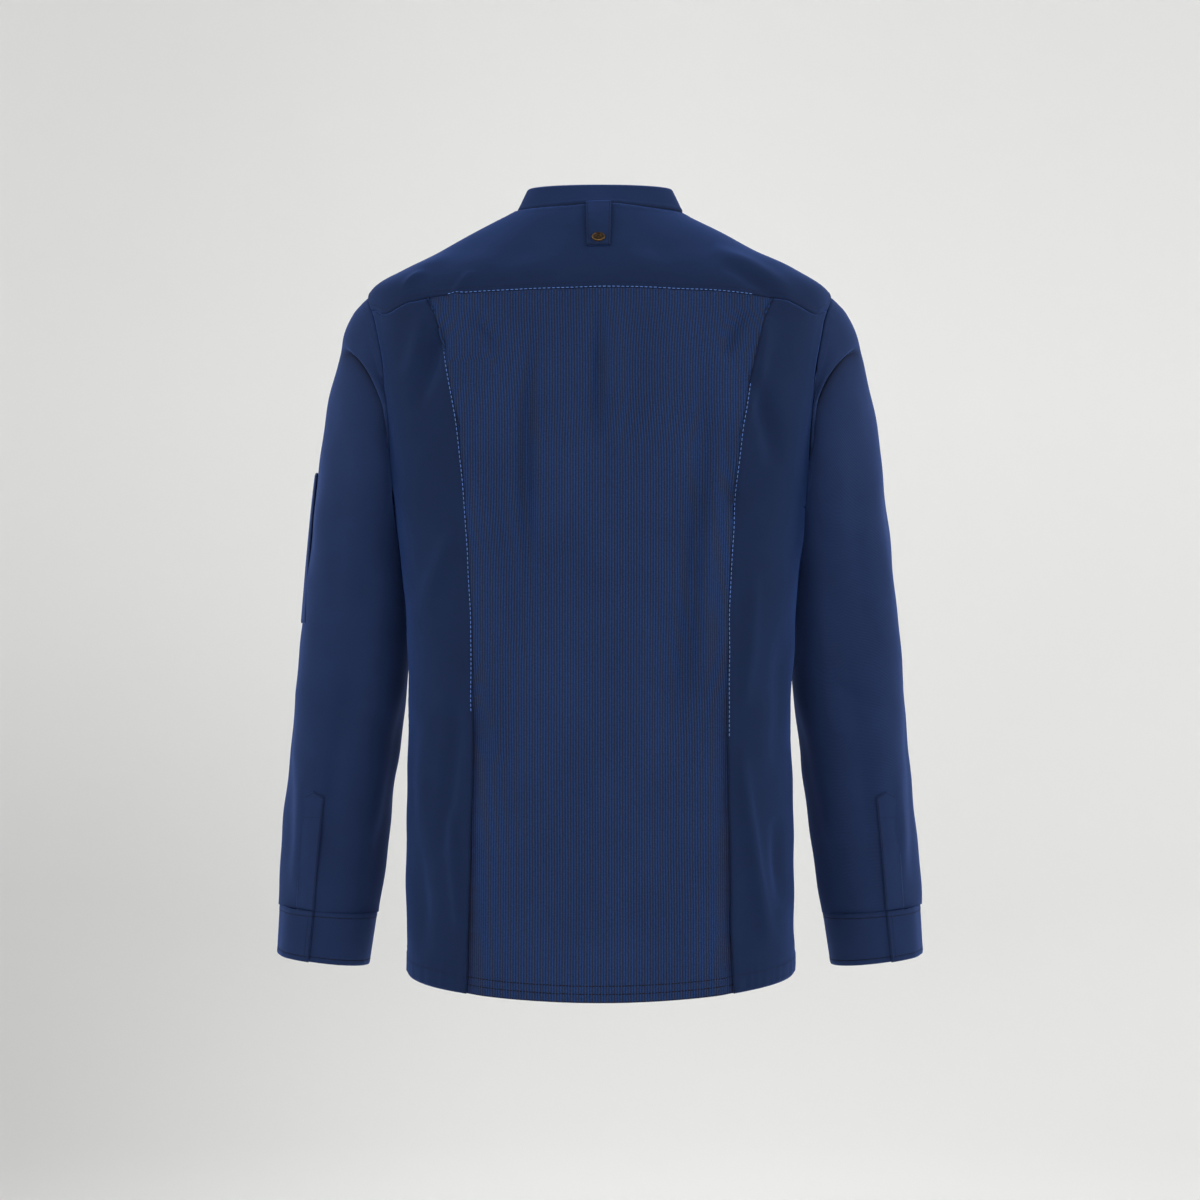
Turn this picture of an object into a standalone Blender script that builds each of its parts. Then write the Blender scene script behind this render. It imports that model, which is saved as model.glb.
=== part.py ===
"""Chef jacket with a band collar, standing hollow as it is worn.

Metres, +Z up, front towards -Y, the wearer's left towards +X. The origin is the
middle of the neck opening at the height of the shoulder and neck points.

The body is one smooth surface: rings numbered 0 at the neckline to 15 at the hem,
each a rounded oval. Every body panel is a patch of that surface between its seams.
Each sleeve starts on the armhole, a closed line on the body surface, and runs
through its own ovals to the wrist. Every piece of cloth is a grid of points on its
outer face, and a Solidify modifier gives it its thickness inwards.
"""

import math
from typing import NamedTuple

import bpy
import numpy as np

MM = 0.001

# Cloth
CLOTH = 1.6 * MM            # one layer of twill with its seam allowances pressed flat
BAND = 2.4 * MM             # collar and cuffs: two layers and a stiff inner one
SEAM_INSET = 0.34 * MM      # each piece stops this far short of the seam line
LAYER_GAP = 0.5 * MM        # between a layer and the one that it lies on


class BodyRing(NamedTuple):
    """Columns of the body's table, in millimetres but for squareness."""

    half_width: float
    side_y: float
    side_z: float
    back_y: float
    back_z: float
    front_y: float
    front_z: float
    squareness: float   # 2 is an ellipse, more is a rounder rectangle
    seam_x: float       # of the seam between the centre and side back panels


# One row for each ring of the body, from the neckline to the hem
TORSO_RINGS = (
    (79.0, -8, 0, 35, 4, -58, -66, 2.00, 120),
    (113.0, -7, -19.3, 62, -22, -67, -81, 2.10, 132),
    (151.0, -5, -39.6, 86, -44.5, -77, -96, 2.30, 146),
    (187.0, -3, -57.6, 104, -65, -87, -112, 2.50, 157),
    (217.0, -1, -80.0, 116, -86, -97, -130, 2.70, 163),
    (216.5, 0, -112, 127, -120, -107, -154, 2.90, 149),
    (210.5, 0, -155, 134, -160, -116, -187, 3.00, 139),
    (204.0, 0, -203, 138, -205, -122, -224, 3.00, 130.5),
    (198.0, 0, -250, 138.5, -250, -125, -263, 2.80, 125),
    (192.0, 0, -300, 136, -300, -125, -308, 2.60, 121),
    (185.5, 0, -370, 129, -370, -122, -374, 2.45, 117.5),
    (181.5, 0, -450, 122, -450, -119, -452, 2.40, 116.3),
    (182.0, 0, -530, 121, -530, -119, -531, 2.35, 117.3),
    (183.0, 0, -620, 125, -620, -122, -620, 2.35, 119.5),
    (183.6, 0, -700, 128, -700, -125, -700, 2.35, 121.5),
    (183.6, 0, -734, 130, -734, -126, -734, 2.35, 123),
)
LAST_RING = len(TORSO_RINGS) - 1
HEM_RISE = 18.5 * MM        # how much higher the hem is at the side seams
HEM_RISE_POWER = 1.1
HEM_RING_SPACING = 34 * MM

# Seams on the body, as ring numbers and angles from the centre back
YOKE_RING = 4.0             # the yoke seam at the centre back
YOKE_DROP_POWER = 2.2       # how late it drops on its way to the armhole
ARMHOLE_RING = 6.4          # the ring at the armhole's middle
ARMHOLE_REACH = 2.3         # rings from there to its top and to its foot
ARMHOLE_BACK = math.radians(19.2)
ARMHOLE_FRONT = math.radians(17.9)
YOKE_TURN = math.radians(37.5)      # round the armhole, where the yoke seam meets it
SHOULDER_TURN = math.radians(26.5)  # and where the shoulder seam meets it, in front
SIDE = math.radians(90)
# Columns of points by the fronts' edges, in mm from the centre front: the left front
# laps over to the first, the right front reaches under it to the last
OVER_COLUMNS = (-20, -9, 0, 9, 18, 27)
UNDER_COLUMNS = (18, 9, 0, -9, -20, -27)
RAMP = (18 * MM, 27 * MM)   # where the left front rises over the right one


class Fold(NamedTuple):
    """Columns of the folds' table: millimetres, degrees and ring numbers."""

    depth: float        # outwards, or inwards below zero
    angle: float        # from the centre back
    half_width: float   # in degrees
    ring: float         # where it is deepest
    half_length: float  # in rings


BODY_FOLDS = (
    (2.2, 0, 9, 7.5, 3.5),
    (-1.8, 17, 7, 8.5, 3.8),
    (1.6, -19, 8, 9.5, 3.6),
    (-2.0, -33, 7, 7.0, 3.0),
    (1.8, 33, 8, 11.5, 3.0),
    (-1.6, 5, 8, 12.5, 2.8),
    (2.0, 62, 9, 12.0, 3.4),
    (2.0, -62, 9, 12.6, 3.2),
    (-2.4, 112, 9, 11.0, 3.6),
    (-2.4, -112, 9, 11.6, 3.4),
    (2.6, 136, 9, 12.4, 3.0),
    (2.6, -138, 9, 11.8, 3.2),
)
PANEL_VALLEY = 4.5 * MM     # depth of the furrow along the centre panel's lower seams
VALLEY_TOP_RING = 10.2
VALLEY_FULL_RING = 12.2


class SleeveRing(NamedTuple):
    """Columns of the sleeve's table, in millimetres but for squareness."""

    outer_x: float
    outer_z: float
    inner_x: float
    inner_z: float
    middle_y: float
    half_depth: float
    squareness: float


# One row for each oval of the left sleeve, from the armhole to the cuff seam
SLEEVE_RINGS = (
    (217.0, -82, 188.0, -285.5, 0, 66, 2.2),
    (232.0, -98, 188.3, -287.0, 0, 67, 2.2),
    (242.8, -125, 188.8, -289.0, 0, 69, 2.2),
    (255.3, -175, 189.3, -292.5, -1, 73, 2.2),
    (264.0, -224, 189.5, -298.0, -5, 75, 2.2),
    (270.8, -272, 188.5, -307.0, -12, 75, 2.2),
    (277.0, -320, 185.5, -326.0, -23, 72, 2.2),
    (283.0, -368, 182.0, -362.0, -34, 67, 2.2),
    (288.4, -418, 183.0, -411.0, -44, 62, 2.2),
    (293.0, -468, 187.5, -464.0, -52, 57, 2.15),
    (297.8, -516, 194.5, -514.0, -58, 54, 2.1),
    (302.2, -566, 202.2, -566.0, -63, 51, 2.1),
    (306.8, -616, 210.1, -618.0, -67, 48, 2.1),
    (310.3, -656, 216.4, -662.0, -70, 45.5, 2.1),
    (310.9, -665, 217.8, -673.0, -71, 45, 2.1),
)
SLEEVE_ROWS = (
    0, 0.9, 1.6, 2, 2.12, 2.6, 3.2, 3.8, 4.4, 5, 5.6, 6.3, 7, 8, 9, 10, 11, 12, 13, 14
)
CREASE_RING = 2             # the sleeve ring that the shoulder crease follows
CREASE_LIP = 3.0 * MM       # the cap stands this proud of the crease
CREASE_LIP_RINGS = 0.55     # over this many rings above it
CREASE_GROOVE = 4.0 * MM    # and the arm starts this far below it
CREASE_GROOVE_RINGS = 0.9   # over this many rings below it
CREASE_AT_OUTSIDE = 0.15    # share of its depth where it crosses the arm's outside
CREASE_FADE = (math.radians(85), math.radians(130))     # it fades between these turns
ARM_RINGS = 4               # rings over which the armhole's form fades below the crease
TORSO_CLEARANCE = 1.4 * MM

# Cuffs: the same columns as the sleeve, at the seam and at the wrist edge
CUFF_RINGS = (
    (311.9, -664.9, 217.0, -672.9, -71, 45.8, 2.1),
    (315.0, -712.5, 225.0, -724.0, -75, 45.0, 2.1),
)
CUFF_EDGE = math.radians(78)        # the overlapping end, behind the sleeve
CUFF_OVERLAP = math.radians(24)
CUFF_RISE = (1.15, 2.35)            # where it rises over the other, in overlaps

# Sleeve slit placket
PLACKET_ANGLES = (math.radians(53), math.radians(78))
PLACKET_FOOT_RING = 13.75
PLACKET_TOP_RING = 10.72
PLACKET_POINT_RINGS = 0.2
PLACKET_LIFT = 1.0 * MM     # its free edge stands off the sleeve by this at its foot

# Collar: the top edge ring, in the body rings' columns
COLLAR_TOP = (69.5, -29, 21.6, 10.5, 24.3, -74, -42, 2.15, 0)
COLLAR_FOOT_LIFT = 0.7      # its foot clears the front below it by this share of its push

# Back loop
TAB_WIDTH = 23.5 * MM
TAB_X = 1.4 * MM            # it sits a little to the wearer's left
TAB_TAPER = 0.08
TAB_ARCH = 1.2 * MM         # it arches this far off the yoke above the stud
TAB_FOOT_RING = 2.0
TAB_STUD_RING = 1.68

# Studs
STUD_RADIUS = 6.2 * MM
STUD_HEIGHT = 2.4 * MM
STUD_SEAT = 0.45 * MM       # between a cap and the cloth, which may curve under it
# Shares of the radius and height: the dish and its boss, the rim and the side
STUD_PROFILE = (
    (0.0, 0.62), (0.30, 0.62), (0.38, 0.78), (0.72, 0.78),
    (0.84, 1.0), (0.95, 0.95), (1.0, 0.6), (0.97, 0.0), (0.0, 0.0),
)
FRONT_STUDS = 7
FRONT_STUD_TOP = -100 * MM
FRONT_STUD_SPACING = -90 * MM

# Pen pocket on the left sleeve
POCKET_ANGLES = (math.radians(13), math.radians(-47))
POCKET_RINGS = (4.62, 7.52)
POCKET_BULGE = 1.9 * MM

# Finishes: name, sRGB colour, roughness, metallic
FINISHES = {
    "navy_twill": ("#212E50", 0.85, 0.0),
    "navy_mesh": ("#242F4E", 0.9, 0.0),
    "aged_brass": ("#4A3D2E", 0.45, 0.9),
}


def read_rows(table, position):
    """A table's columns at fractional rows, on a Catmull-Rom curve, last axis first."""
    rows = np.asarray(table, float)
    position = np.asarray(position, float)
    start = np.clip(np.floor(position).astype(int), 0, len(rows) - 2)
    share = (position - start)[..., None]
    rows = np.vstack([2 * rows[0] - rows[1], rows, 2 * rows[-1] - rows[-2]])
    before, first, second, after = (rows[start + step] for step in range(4))
    read = 0.5 * (
        2 * first
        + (second - before) * share
        + (2 * before - 5 * first + 4 * second - after) * share**2
        + (3 * first - before - 3 * second + after) * share**3
    )
    return np.moveaxis(read, -1, 0)


def smooth(value):
    """0 below 0, 1 above 1, and a smooth step between."""
    value = np.clip(value, 0, 1)
    return value * value * (3 - 2 * value)


def oval(angle, half_x, half_y, squareness):
    """The reach of a rounded oval at an angle from its y axis."""
    across = np.abs(np.sin(angle) / half_x) ** squareness
    along = np.abs(np.cos(angle) / half_y) ** squareness
    return (across + along) ** (-1 / squareness)


def ring_points(ring, angle):
    """Points of body rings, given as a BodyRing, at angles from the back."""
    behind = np.cos(angle) >= 0
    depth = np.where(behind, ring.back_y - ring.side_y, ring.side_y - ring.front_y)
    reach = oval(angle, ring.half_width, depth, ring.squareness)
    end_z = np.where(behind, ring.back_z, ring.front_z)
    return MM * np.stack(
        [
            reach * np.sin(angle),
            ring.side_y + reach * np.cos(angle),
            ring.side_z + (end_z - ring.side_z) * np.cos(angle) ** 2,
        ],
        axis=-1,
    )


def torso(ring, angle):
    """Points of the plain body surface."""
    ring, angle = np.broadcast_arrays(np.asarray(ring, float), angle)
    return ring_points(BodyRing(*read_rows(TORSO_RINGS, ring)), angle)


def unit(vectors):
    """Vectors scaled to length 1."""
    return vectors / np.linalg.norm(vectors, axis=-1, keepdims=True)


def torso_normal(ring, angle):
    """Outward unit normals of the plain body surface."""
    step = 1e-3
    down = torso(np.minimum(ring + step, LAST_RING), angle) - torso(ring - step, angle)
    round_it = torso(ring, angle + step) - torso(ring, angle - step)
    return unit(np.cross(round_it, down))


def angle_at(ring, x):
    """The angle, behind the side seam, where a ring is at x."""
    low, high = np.zeros_like(ring), np.full_like(ring, SIDE)
    for _ in range(40):
        middle = (low + high) / 2
        short = torso(ring, middle)[..., 0] < x
        low, high = np.where(short, middle, low), np.where(short, high, middle)
    return low


def front_angle_at(ring, x):
    """The angle, in front of the side seam, where a ring is at x, past 180 for x < 0."""
    low, high = np.full_like(ring, SIDE), np.full_like(ring, math.pi + SIDE)
    for _ in range(40):
        middle = (low + high) / 2
        wide = torso(ring, middle)[..., 0] > x
        low, high = np.where(wide, middle, low), np.where(wide, high, middle)
    return low


def hem_ring(angle):
    """The ring number of the hem, which rises to the side seams."""
    rise = HEM_RISE * (1 - np.abs(np.cos(angle))) ** HEM_RISE_POWER
    return LAST_RING - rise / HEM_RING_SPACING


def yoke_ring(angle):
    """The ring number of the yoke seam, which drops towards the armholes."""
    reach = SIDE - ARMHOLE_BACK * math.sin(YOKE_TURN)
    end = ARMHOLE_RING - ARMHOLE_REACH * math.cos(YOKE_TURN)
    return YOKE_RING + (end - YOKE_RING) * (np.abs(angle) / reach) ** YOKE_DROP_POWER


def armhole(turn):
    """Ring and angle of the armhole, turned from its top over the back to its foot."""
    half = np.where(np.sin(turn) >= 0, ARMHOLE_BACK, ARMHOLE_FRONT)
    return ARMHOLE_RING - ARMHOLE_REACH * np.cos(turn), SIDE - half * np.sin(turn)


def body_folds(ring, angle):
    """How far the folds push the body cloth out, in metres."""
    push = np.zeros(np.broadcast(ring, angle).shape)
    for fold in (Fold(*row) for row in BODY_FOLDS):
        across = (np.degrees(angle) - fold.angle) / fold.half_width
        along = (ring - fold.ring) / fold.half_length
        push = push + fold.depth * MM * np.exp(-(across**2) - along**2)
    return push


def valley(ring):
    """Depth of the furrow along the centre panel's seams at each ring."""
    share = (ring - VALLEY_TOP_RING) / (VALLEY_FULL_RING - VALLEY_TOP_RING)
    return PANEL_VALLEY * smooth(share)


# Samples that neighbouring panels share, so that their edges meet point to point
BACK_TURNS = np.concatenate(
    [np.linspace(0, YOKE_TURN, 4), np.linspace(YOKE_TURN, math.pi, 10)[1:]]
)
FRONT_TURNS = -np.concatenate(
    [np.linspace(0, SHOULDER_TURN, 3), np.linspace(SHOULDER_TURN, math.pi, 11)[1:]]
)
YOKE_TURNS_BACK = BACK_TURNS[:4]
YOKE_TURNS_FRONT = FRONT_TURNS[:3]
SLEEVE_TURNS = np.concatenate([BACK_TURNS, FRONT_TURNS[-2:0:-1] + 2 * math.pi])
SIDE_HEM_RING = float(hem_ring(SIDE))
BODY_ROWS = np.linspace(armhole(math.pi)[0], SIDE_HEM_RING, 11)[1:]
VALLEY_COLUMN = 4 * MM      # width of the lip and the first strip beside the furrow


def back_shares():
    """Rows of the back panels, as shares of the way from the yoke seam to the hem."""
    rings = np.concatenate([armhole(BACK_TURNS[3:])[0], BODY_ROWS])
    return (rings - rings[0]) / (rings[-1] - rings[0])


def centre_seam(shares):
    """Ring and angle of the seam between the centre and side back panels."""
    angle = np.full_like(shares, math.radians(62))
    for _ in range(12):
        ring = yoke_ring(angle) + shares * (hem_ring(angle) - yoke_ring(angle))
        angle = angle_at(ring, BodyRing(*read_rows(TORSO_RINGS, ring)).seam_x * MM)
    return ring, angle


def inset(grid, tube=False):
    """Moves a grid's edges in from the seam lines; a tube has only its ends."""
    moved = grid.copy()
    for edge, beside in ((0, 1), (-1, -2)):
        moved[edge] += unit(grid[beside] - grid[edge]) * SEAM_INSET
        if not tube:
            moved[:, edge] += unit(grid[:, beside] - grid[:, edge]) * SEAM_INSET
    return moved


def mirrored(grid):
    """The same patch on the wearer's other side, its columns kept facing out."""
    return grid[:, ::-1] * np.array([-1, 1, 1])


def finish_material(name):
    """A Principled material with the colour, roughness and metallic of a finish."""
    made = bpy.data.materials.get(name)
    if made:
        return made
    colour, roughness, metallic = FINISHES[name]
    made = bpy.data.materials.new(name)
    made.use_nodes = True
    shader = made.node_tree.nodes["Principled BSDF"]
    srgb = [int(colour[i : i + 2], 16) / 255 for i in (1, 3, 5)]
    linear = [((c + 0.055) / 1.055) ** 2.4 if c > 0.04 else c / 12.92 for c in srgb]
    shader.inputs["Base Color"].default_value = (*linear, 1)
    shader.inputs["Roughness"].default_value = roughness
    shader.inputs["Metallic"].default_value = metallic
    return made


def add_object(name, mesh, finish):
    """A new object with its finish, in the jacket's collection."""
    mesh.materials.append(finish_material(finish))
    made = bpy.data.objects.new(name, mesh)
    bpy.data.collections["chef_jacket"].objects.link(made)
    return made


def cloth(name, points, thickness=CLOTH, finish="navy_twill", tube=False, flip=False):
    """A piece of cloth whose outer face is a grid of points, thickened inwards.

    Rows run down and columns run towards the wearer's left as seen from behind,
    which turns the faces out. On a tube the last column joins the first. A flipped
    piece is the same one for the wearer's other side.
    """
    if flip:
        points = mirrored(points)
    rows, columns = points.shape[:2]
    number = np.arange(rows * columns).reshape(rows, columns)
    if tube:
        number = np.hstack([number, number[:, :1]])
    corners = number[:-1, :-1], number[:-1, 1:], number[1:, 1:], number[1:, :-1]
    faces = np.stack(corners, axis=-1).reshape(-1, 4)
    mesh = bpy.data.meshes.new(name)
    mesh.from_pydata(points.reshape(-1, 3).tolist(), [], faces.tolist())
    mesh.shade_smooth()
    made = add_object(name, mesh, finish)
    wall = made.modifiers.new("wall", "SOLIDIFY")
    wall.thickness, wall.offset = thickness, -1
    wall.use_even_offset = False
    return made


def body_panel(name, ring, angle, push=0.0, finish="navy_twill", flip=False):
    """A wall on the body surface over a grid of rings and angles, pushed out."""
    normal = torso_normal(ring, angle)
    push = np.asarray(push) + body_folds(ring, -angle if flip else angle)
    outer = inset(torso(ring, angle) + normal * push[..., None])
    return cloth(name, outer, finish=finish, flip=flip)


def make_yoke():
    """The yoke, from armhole to armhole and a little over the shoulders."""
    seam_angle = centre_seam(np.zeros(1))[1][0]
    middle = np.linspace(0, seam_angle, 8)
    beside = np.linspace(seam_angle, armhole(YOKE_TURN)[1], 7)[1:]
    behind_ring, behind_angle = armhole(YOKE_TURNS_BACK[2::-1])
    ahead_ring, ahead_angle = armhole(YOKE_TURNS_FRONT[1:])
    half = np.concatenate([middle, beside, behind_angle, ahead_angle])
    foot = np.concatenate([yoke_ring(middle), yoke_ring(beside), behind_ring, ahead_ring])
    angle = np.concatenate([-half[:0:-1], half])
    foot = np.concatenate([foot[:0:-1], foot])
    share = np.linspace(0, 1, 8)[:, None]
    ring = share * foot
    return body_panel("yoke", ring, np.broadcast_to(angle, ring.shape))


def make_centre_back():
    """The breathable centre panel, sunk a little along its lower seams."""
    shares = back_shares()
    seam_ring, seam_angle = centre_seam(shares)
    strip = VALLEY_COLUMN / torso(seam_ring, seam_angle)[:, 0]
    across = np.linspace(-1, 1, 13)[None, 1:-1]
    inner_angle = across * (seam_angle - 4 * strip)[:, None] / across.max()
    edge = np.stack([seam_angle, seam_angle - strip], axis=1)
    angle = np.concatenate([-edge, inner_angle, edge[:, ::-1]], axis=1)
    top = yoke_ring(angle)
    ring = top + shares[:, None] * (hem_ring(angle) - top)
    depth = np.zeros(angle.shape[1])
    depth[[0, -1]], depth[[1, -2]] = 1.0, 0.8
    depth[[2, -3]] = 0.12
    push = -valley(ring) * depth
    return body_panel("back_centre", ring, angle, push, "navy_mesh")


def make_side_back(name, flip):
    """A side back panel, between the centre panel, the armhole and the side seam."""
    shares = back_shares()
    seam_ring, seam_angle = centre_seam(shares)
    outer_ring = np.concatenate([armhole(BACK_TURNS[3:])[0], BODY_ROWS])
    outer_angle = np.concatenate(
        [armhole(BACK_TURNS[3:])[1], np.full(len(BODY_ROWS), SIDE)]
    )
    lip = VALLEY_COLUMN / torso(seam_ring, seam_angle)[:, 0]
    lip_share = lip / (outer_angle - seam_angle)
    across = np.linspace(0, 1, 7)[None, :]
    share = lip_share[:, None] + (1 - lip_share[:, None]) * across
    share[:, 0] = 0
    share[:, 1] = lip_share
    share[0] = across
    angle = seam_angle[:, None] + share * (outer_angle - seam_angle)[:, None]
    ring = seam_ring[:, None] + share * (outer_ring - seam_ring)[:, None]
    depth = np.zeros(7)
    depth[0] = 1.0
    return body_panel(name, ring, angle, -valley(ring) * depth, flip=flip)


def front_rows():
    """Rings of a front panel's outer edge and its angles: shoulder, armhole, side."""
    shoulder_ring, shoulder_angle = armhole(YOKE_TURNS_FRONT[-1])
    turns = FRONT_TURNS[3:]
    rings = np.concatenate(
        [np.linspace(0, float(shoulder_ring), 8), armhole(turns)[0], BODY_ROWS]
    )
    angles = np.concatenate(
        [np.full(8, float(shoulder_angle)), armhole(turns)[1], np.full(len(BODY_ROWS), SIDE)]
    )
    return rings, angles


def make_front(name, flip):
    """A front panel. The left one crosses the centre and rises over the right one."""
    outer_ring, outer_angle = front_rows()
    shares = outer_ring / outer_ring[-1]
    hem = float(hem_ring(math.pi))
    centre_ring = shares * hem
    # The right front is built on the wearer's left too, so its columns change sign.
    columns = [-x for x in UNDER_COLUMNS] if flip else OVER_COLUMNS
    edge_angles = [front_angle_at(centre_ring, x * MM) for x in columns]
    placket = np.stack(edge_angles[::-1], axis=1)
    share = np.linspace(0, 1, 8)[None, :-1]
    spread = outer_angle[:, None] + share * (placket[:, :1] - outer_angle[:, None])
    angle = np.concatenate([spread, placket], axis=1)
    edge = placket[:, -1:]
    along = (angle - outer_angle[:, None]) / (edge - outer_angle[:, None])
    ring = outer_ring[:, None] + along * (centre_ring - outer_ring)[:, None]
    push = 0.0
    if not flip:
        x = torso(ring, angle)[..., 0]
        push = (CLOTH + LAYER_GAP) * (1 - smooth((x - RAMP[0]) / (RAMP[1] - RAMP[0])))
    return body_panel(name, ring, angle, push, flip=flip)


def sleeve_ovals(table, position, turn):
    """Points of the sleeve's plain ovals at fractional rows, turned from outside."""
    ring = SleeveRing(*read_rows(table, position))
    half_x, half_z = (ring.outer_x - ring.inner_x) / 2, (ring.outer_z - ring.inner_z) / 2
    half = np.hypot(half_x, half_z)
    reach = oval(turn, ring.half_depth, half, ring.squareness)
    along = reach * np.cos(turn) / half
    return MM * np.stack(
        [
            ring.inner_x + (1 + along) * half_x,
            ring.middle_y + reach * np.sin(turn),
            ring.inner_z + (1 + along) * half_z,
        ],
        axis=-1,
    )


def from_top(turn):
    """The angle from the top of the arm, whichever way round."""
    return np.abs((turn + math.pi) % (2 * math.pi) - math.pi)


def crease_fade(turn):
    """1 over the top and back of the arm, fading out towards the underarm."""
    start, end = CREASE_FADE
    return 1 - smooth((from_top(turn) - start) / (end - start))


def sleeve_surface(position, turn):
    """Points of the left sleeve: its ovals, bent to start on the armhole.

    The shoulder crease is a copy of the armhole, moved out at the top and fading
    into the armhole under the arm.
    """
    position, turn = np.broadcast_arrays(np.asarray(position, float), turn)
    seam = torso(*armhole(turn))
    away = from_top(turn)
    outwards = np.clip(np.cos(away), 0, None) ** 1.2
    downwards = (1 + np.cos(np.minimum(away * 1.3, math.pi))) / 2
    first, last = SleeveRing(*SLEEVE_RINGS[0]), SleeveRing(*SLEEVE_RINGS[CREASE_RING])
    fall = last.outer_z - first.outer_z
    foot_fall = last.inner_z - first.inner_z
    crease = seam + MM * np.stack(
        [
            (last.outer_x - first.outer_x) * outwards + 0.8,
            2.0 * np.sin(turn),
            fall * downwards + foot_fall * (1 - downwards),
        ],
        axis=-1,
    )
    seam_oval = sleeve_ovals(SLEEVE_RINGS, np.zeros_like(turn), turn)
    crease_oval = sleeve_ovals(SLEEVE_RINGS, np.full_like(turn, CREASE_RING), turn)
    cap = np.clip(position / CREASE_RING, 0, 1)[..., None]
    arm = smooth((position - CREASE_RING) / ARM_RINGS)[..., None]
    fit = (seam - seam_oval) * (1 - cap) + (crease - crease_oval) * cap * (1 - arm)
    return sleeve_ovals(SLEEVE_RINGS, position, turn) + fit


def clear_of_body(points, clearance):
    """Moves points out in x until they are the clearance away from the body."""
    numbers = np.linspace(YOKE_RING, LAST_RING, 200)
    heights = BodyRing(*read_rows(TORSO_RINGS, numbers)).side_z * MM
    number = np.interp(-points[..., 2], -heights, numbers)
    ring = BodyRing(*read_rows(TORSO_RINGS, number))
    y = points[..., 1] / MM - ring.side_y
    depth = np.where(y >= 0, ring.back_y - ring.side_y, ring.side_y - ring.front_y)
    inside = np.clip(1 - np.abs(y / depth) ** ring.squareness, 0, None)
    wall = MM * ring.half_width * inside ** (1 / ring.squareness) + clearance
    below_shoulder = smooth((-points[..., 2] - 100 * MM) / (40 * MM))
    moved = points.copy()
    moved[..., 0] += np.maximum(wall - points[..., 0], 0) * below_shoulder
    return moved


def surface_normals(points, tube=True):
    """Unit normals of a grid of points, columns wrapping on a tube."""
    down = np.gradient(points, axis=0)
    if tube:
        round_it = (np.roll(points, -1, axis=1) - np.roll(points, 1, axis=1)) / 2
    else:
        round_it = np.gradient(points, axis=1)
    return unit(np.cross(round_it, down))


def sleeve_push(position, turn):
    """The shoulder crease: a lip that stands proud, and the groove below it."""
    below = position - CREASE_RING
    lip = np.exp(-((below / CREASE_LIP_RINGS) ** 2)) * (below <= 0)
    groove = np.exp(-((below / CREASE_GROOVE_RINGS) ** 2)) * (below > 0)
    seen = CREASE_AT_OUTSIDE + (1 - CREASE_AT_OUTSIDE) * np.sin(turn) ** 2
    return (CREASE_LIP * lip - CREASE_GROOVE * groove) * crease_fade(turn) * seen


def sleeve_points(position, turn, tube=True):
    """The sleeve's outer points, clear of the body, and their normals."""
    plain = sleeve_surface(position, turn)
    clearance = TORSO_CLEARANCE * np.clip(position / CREASE_RING, 0.1, 1)
    plain = clear_of_body(plain, clearance)
    normal = surface_normals(plain, tube)
    return plain + normal * sleeve_push(position, turn)[..., None], normal


def make_sleeve(name, flip):
    """A one-piece sleeve, a tube from the armhole to the cuff seam."""
    # Angles fall along a row, which keeps the outer faces out.
    turn, position = np.meshgrid(SLEEVE_TURNS[::-1], SLEEVE_ROWS)
    outer, _ = sleeve_points(position, turn)
    return cloth(name, inset(outer, tube=True), tube=True, flip=flip)


def make_cuff(name, flip):
    """A cuff band whose end behind the arm lies over the other end."""
    sweep = 2 * math.pi + CUFF_OVERLAP
    turn, height = np.meshgrid(CUFF_EDGE - np.linspace(0, sweep, 34), np.linspace(0, 1, 3))
    plain = sleeve_ovals(CUFF_RINGS, height, turn)
    normal = surface_normals(plain, tube=False)
    past_edge = (CUFF_EDGE - turn) / CUFF_OVERLAP
    over = 1 - smooth((past_edge - CUFF_RISE[0]) / (CUFF_RISE[1] - CUFF_RISE[0]))
    push = (BAND + LAYER_GAP) * over[..., None]
    return cloth(name, inset(plain + normal * push), BAND, flip=flip)


def make_sleeve_placket(name, flip):
    """The strip with a pointed top that covers the slit above the cuff."""
    across = np.linspace(0, 1, 5)
    shares = np.linspace(0, 1, 8)
    first, last = PLACKET_ANGLES
    turn = last + (first - last) * np.tile(across, (len(shares), 1))
    point = PLACKET_POINT_RINGS * np.abs(across - 0.5) * 2
    top = PLACKET_TOP_RING + point
    position = top + shares[:, None] * (PLACKET_FOOT_RING - top)
    plain = sleeve_surface(position, turn)
    normal = surface_normals(plain, tube=False)
    lift = LAYER_GAP + PLACKET_LIFT * smooth(1 - across) * shares[:, None]
    outer = plain + normal * (lift + CLOTH)[..., None]
    return cloth(name, outer, flip=flip)


def make_pocket():
    """The pen pocket on the left sleeve: a patch that bulges, open at its top."""
    turn = np.linspace(*POCKET_ANGLES, 9)[None, :]
    share = np.linspace(0, 1, 10)[:, None]
    position = POCKET_RINGS[0] + share * (POCKET_RINGS[1] - POCKET_RINGS[0])
    position, turn = np.broadcast_arrays(position, turn)
    plain, normal = sleeve_points(position, turn, tube=False)
    across = np.linspace(-1, 1, 9)[None, :]
    bulge = POCKET_BULGE * (1 - across**4) * (1 - smooth(share * 1.3 - 0.3)) ** 0.5
    return cloth("sleeve_pocket", plain + normal * (LAYER_GAP + CLOTH + bulge)[..., None])


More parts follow.
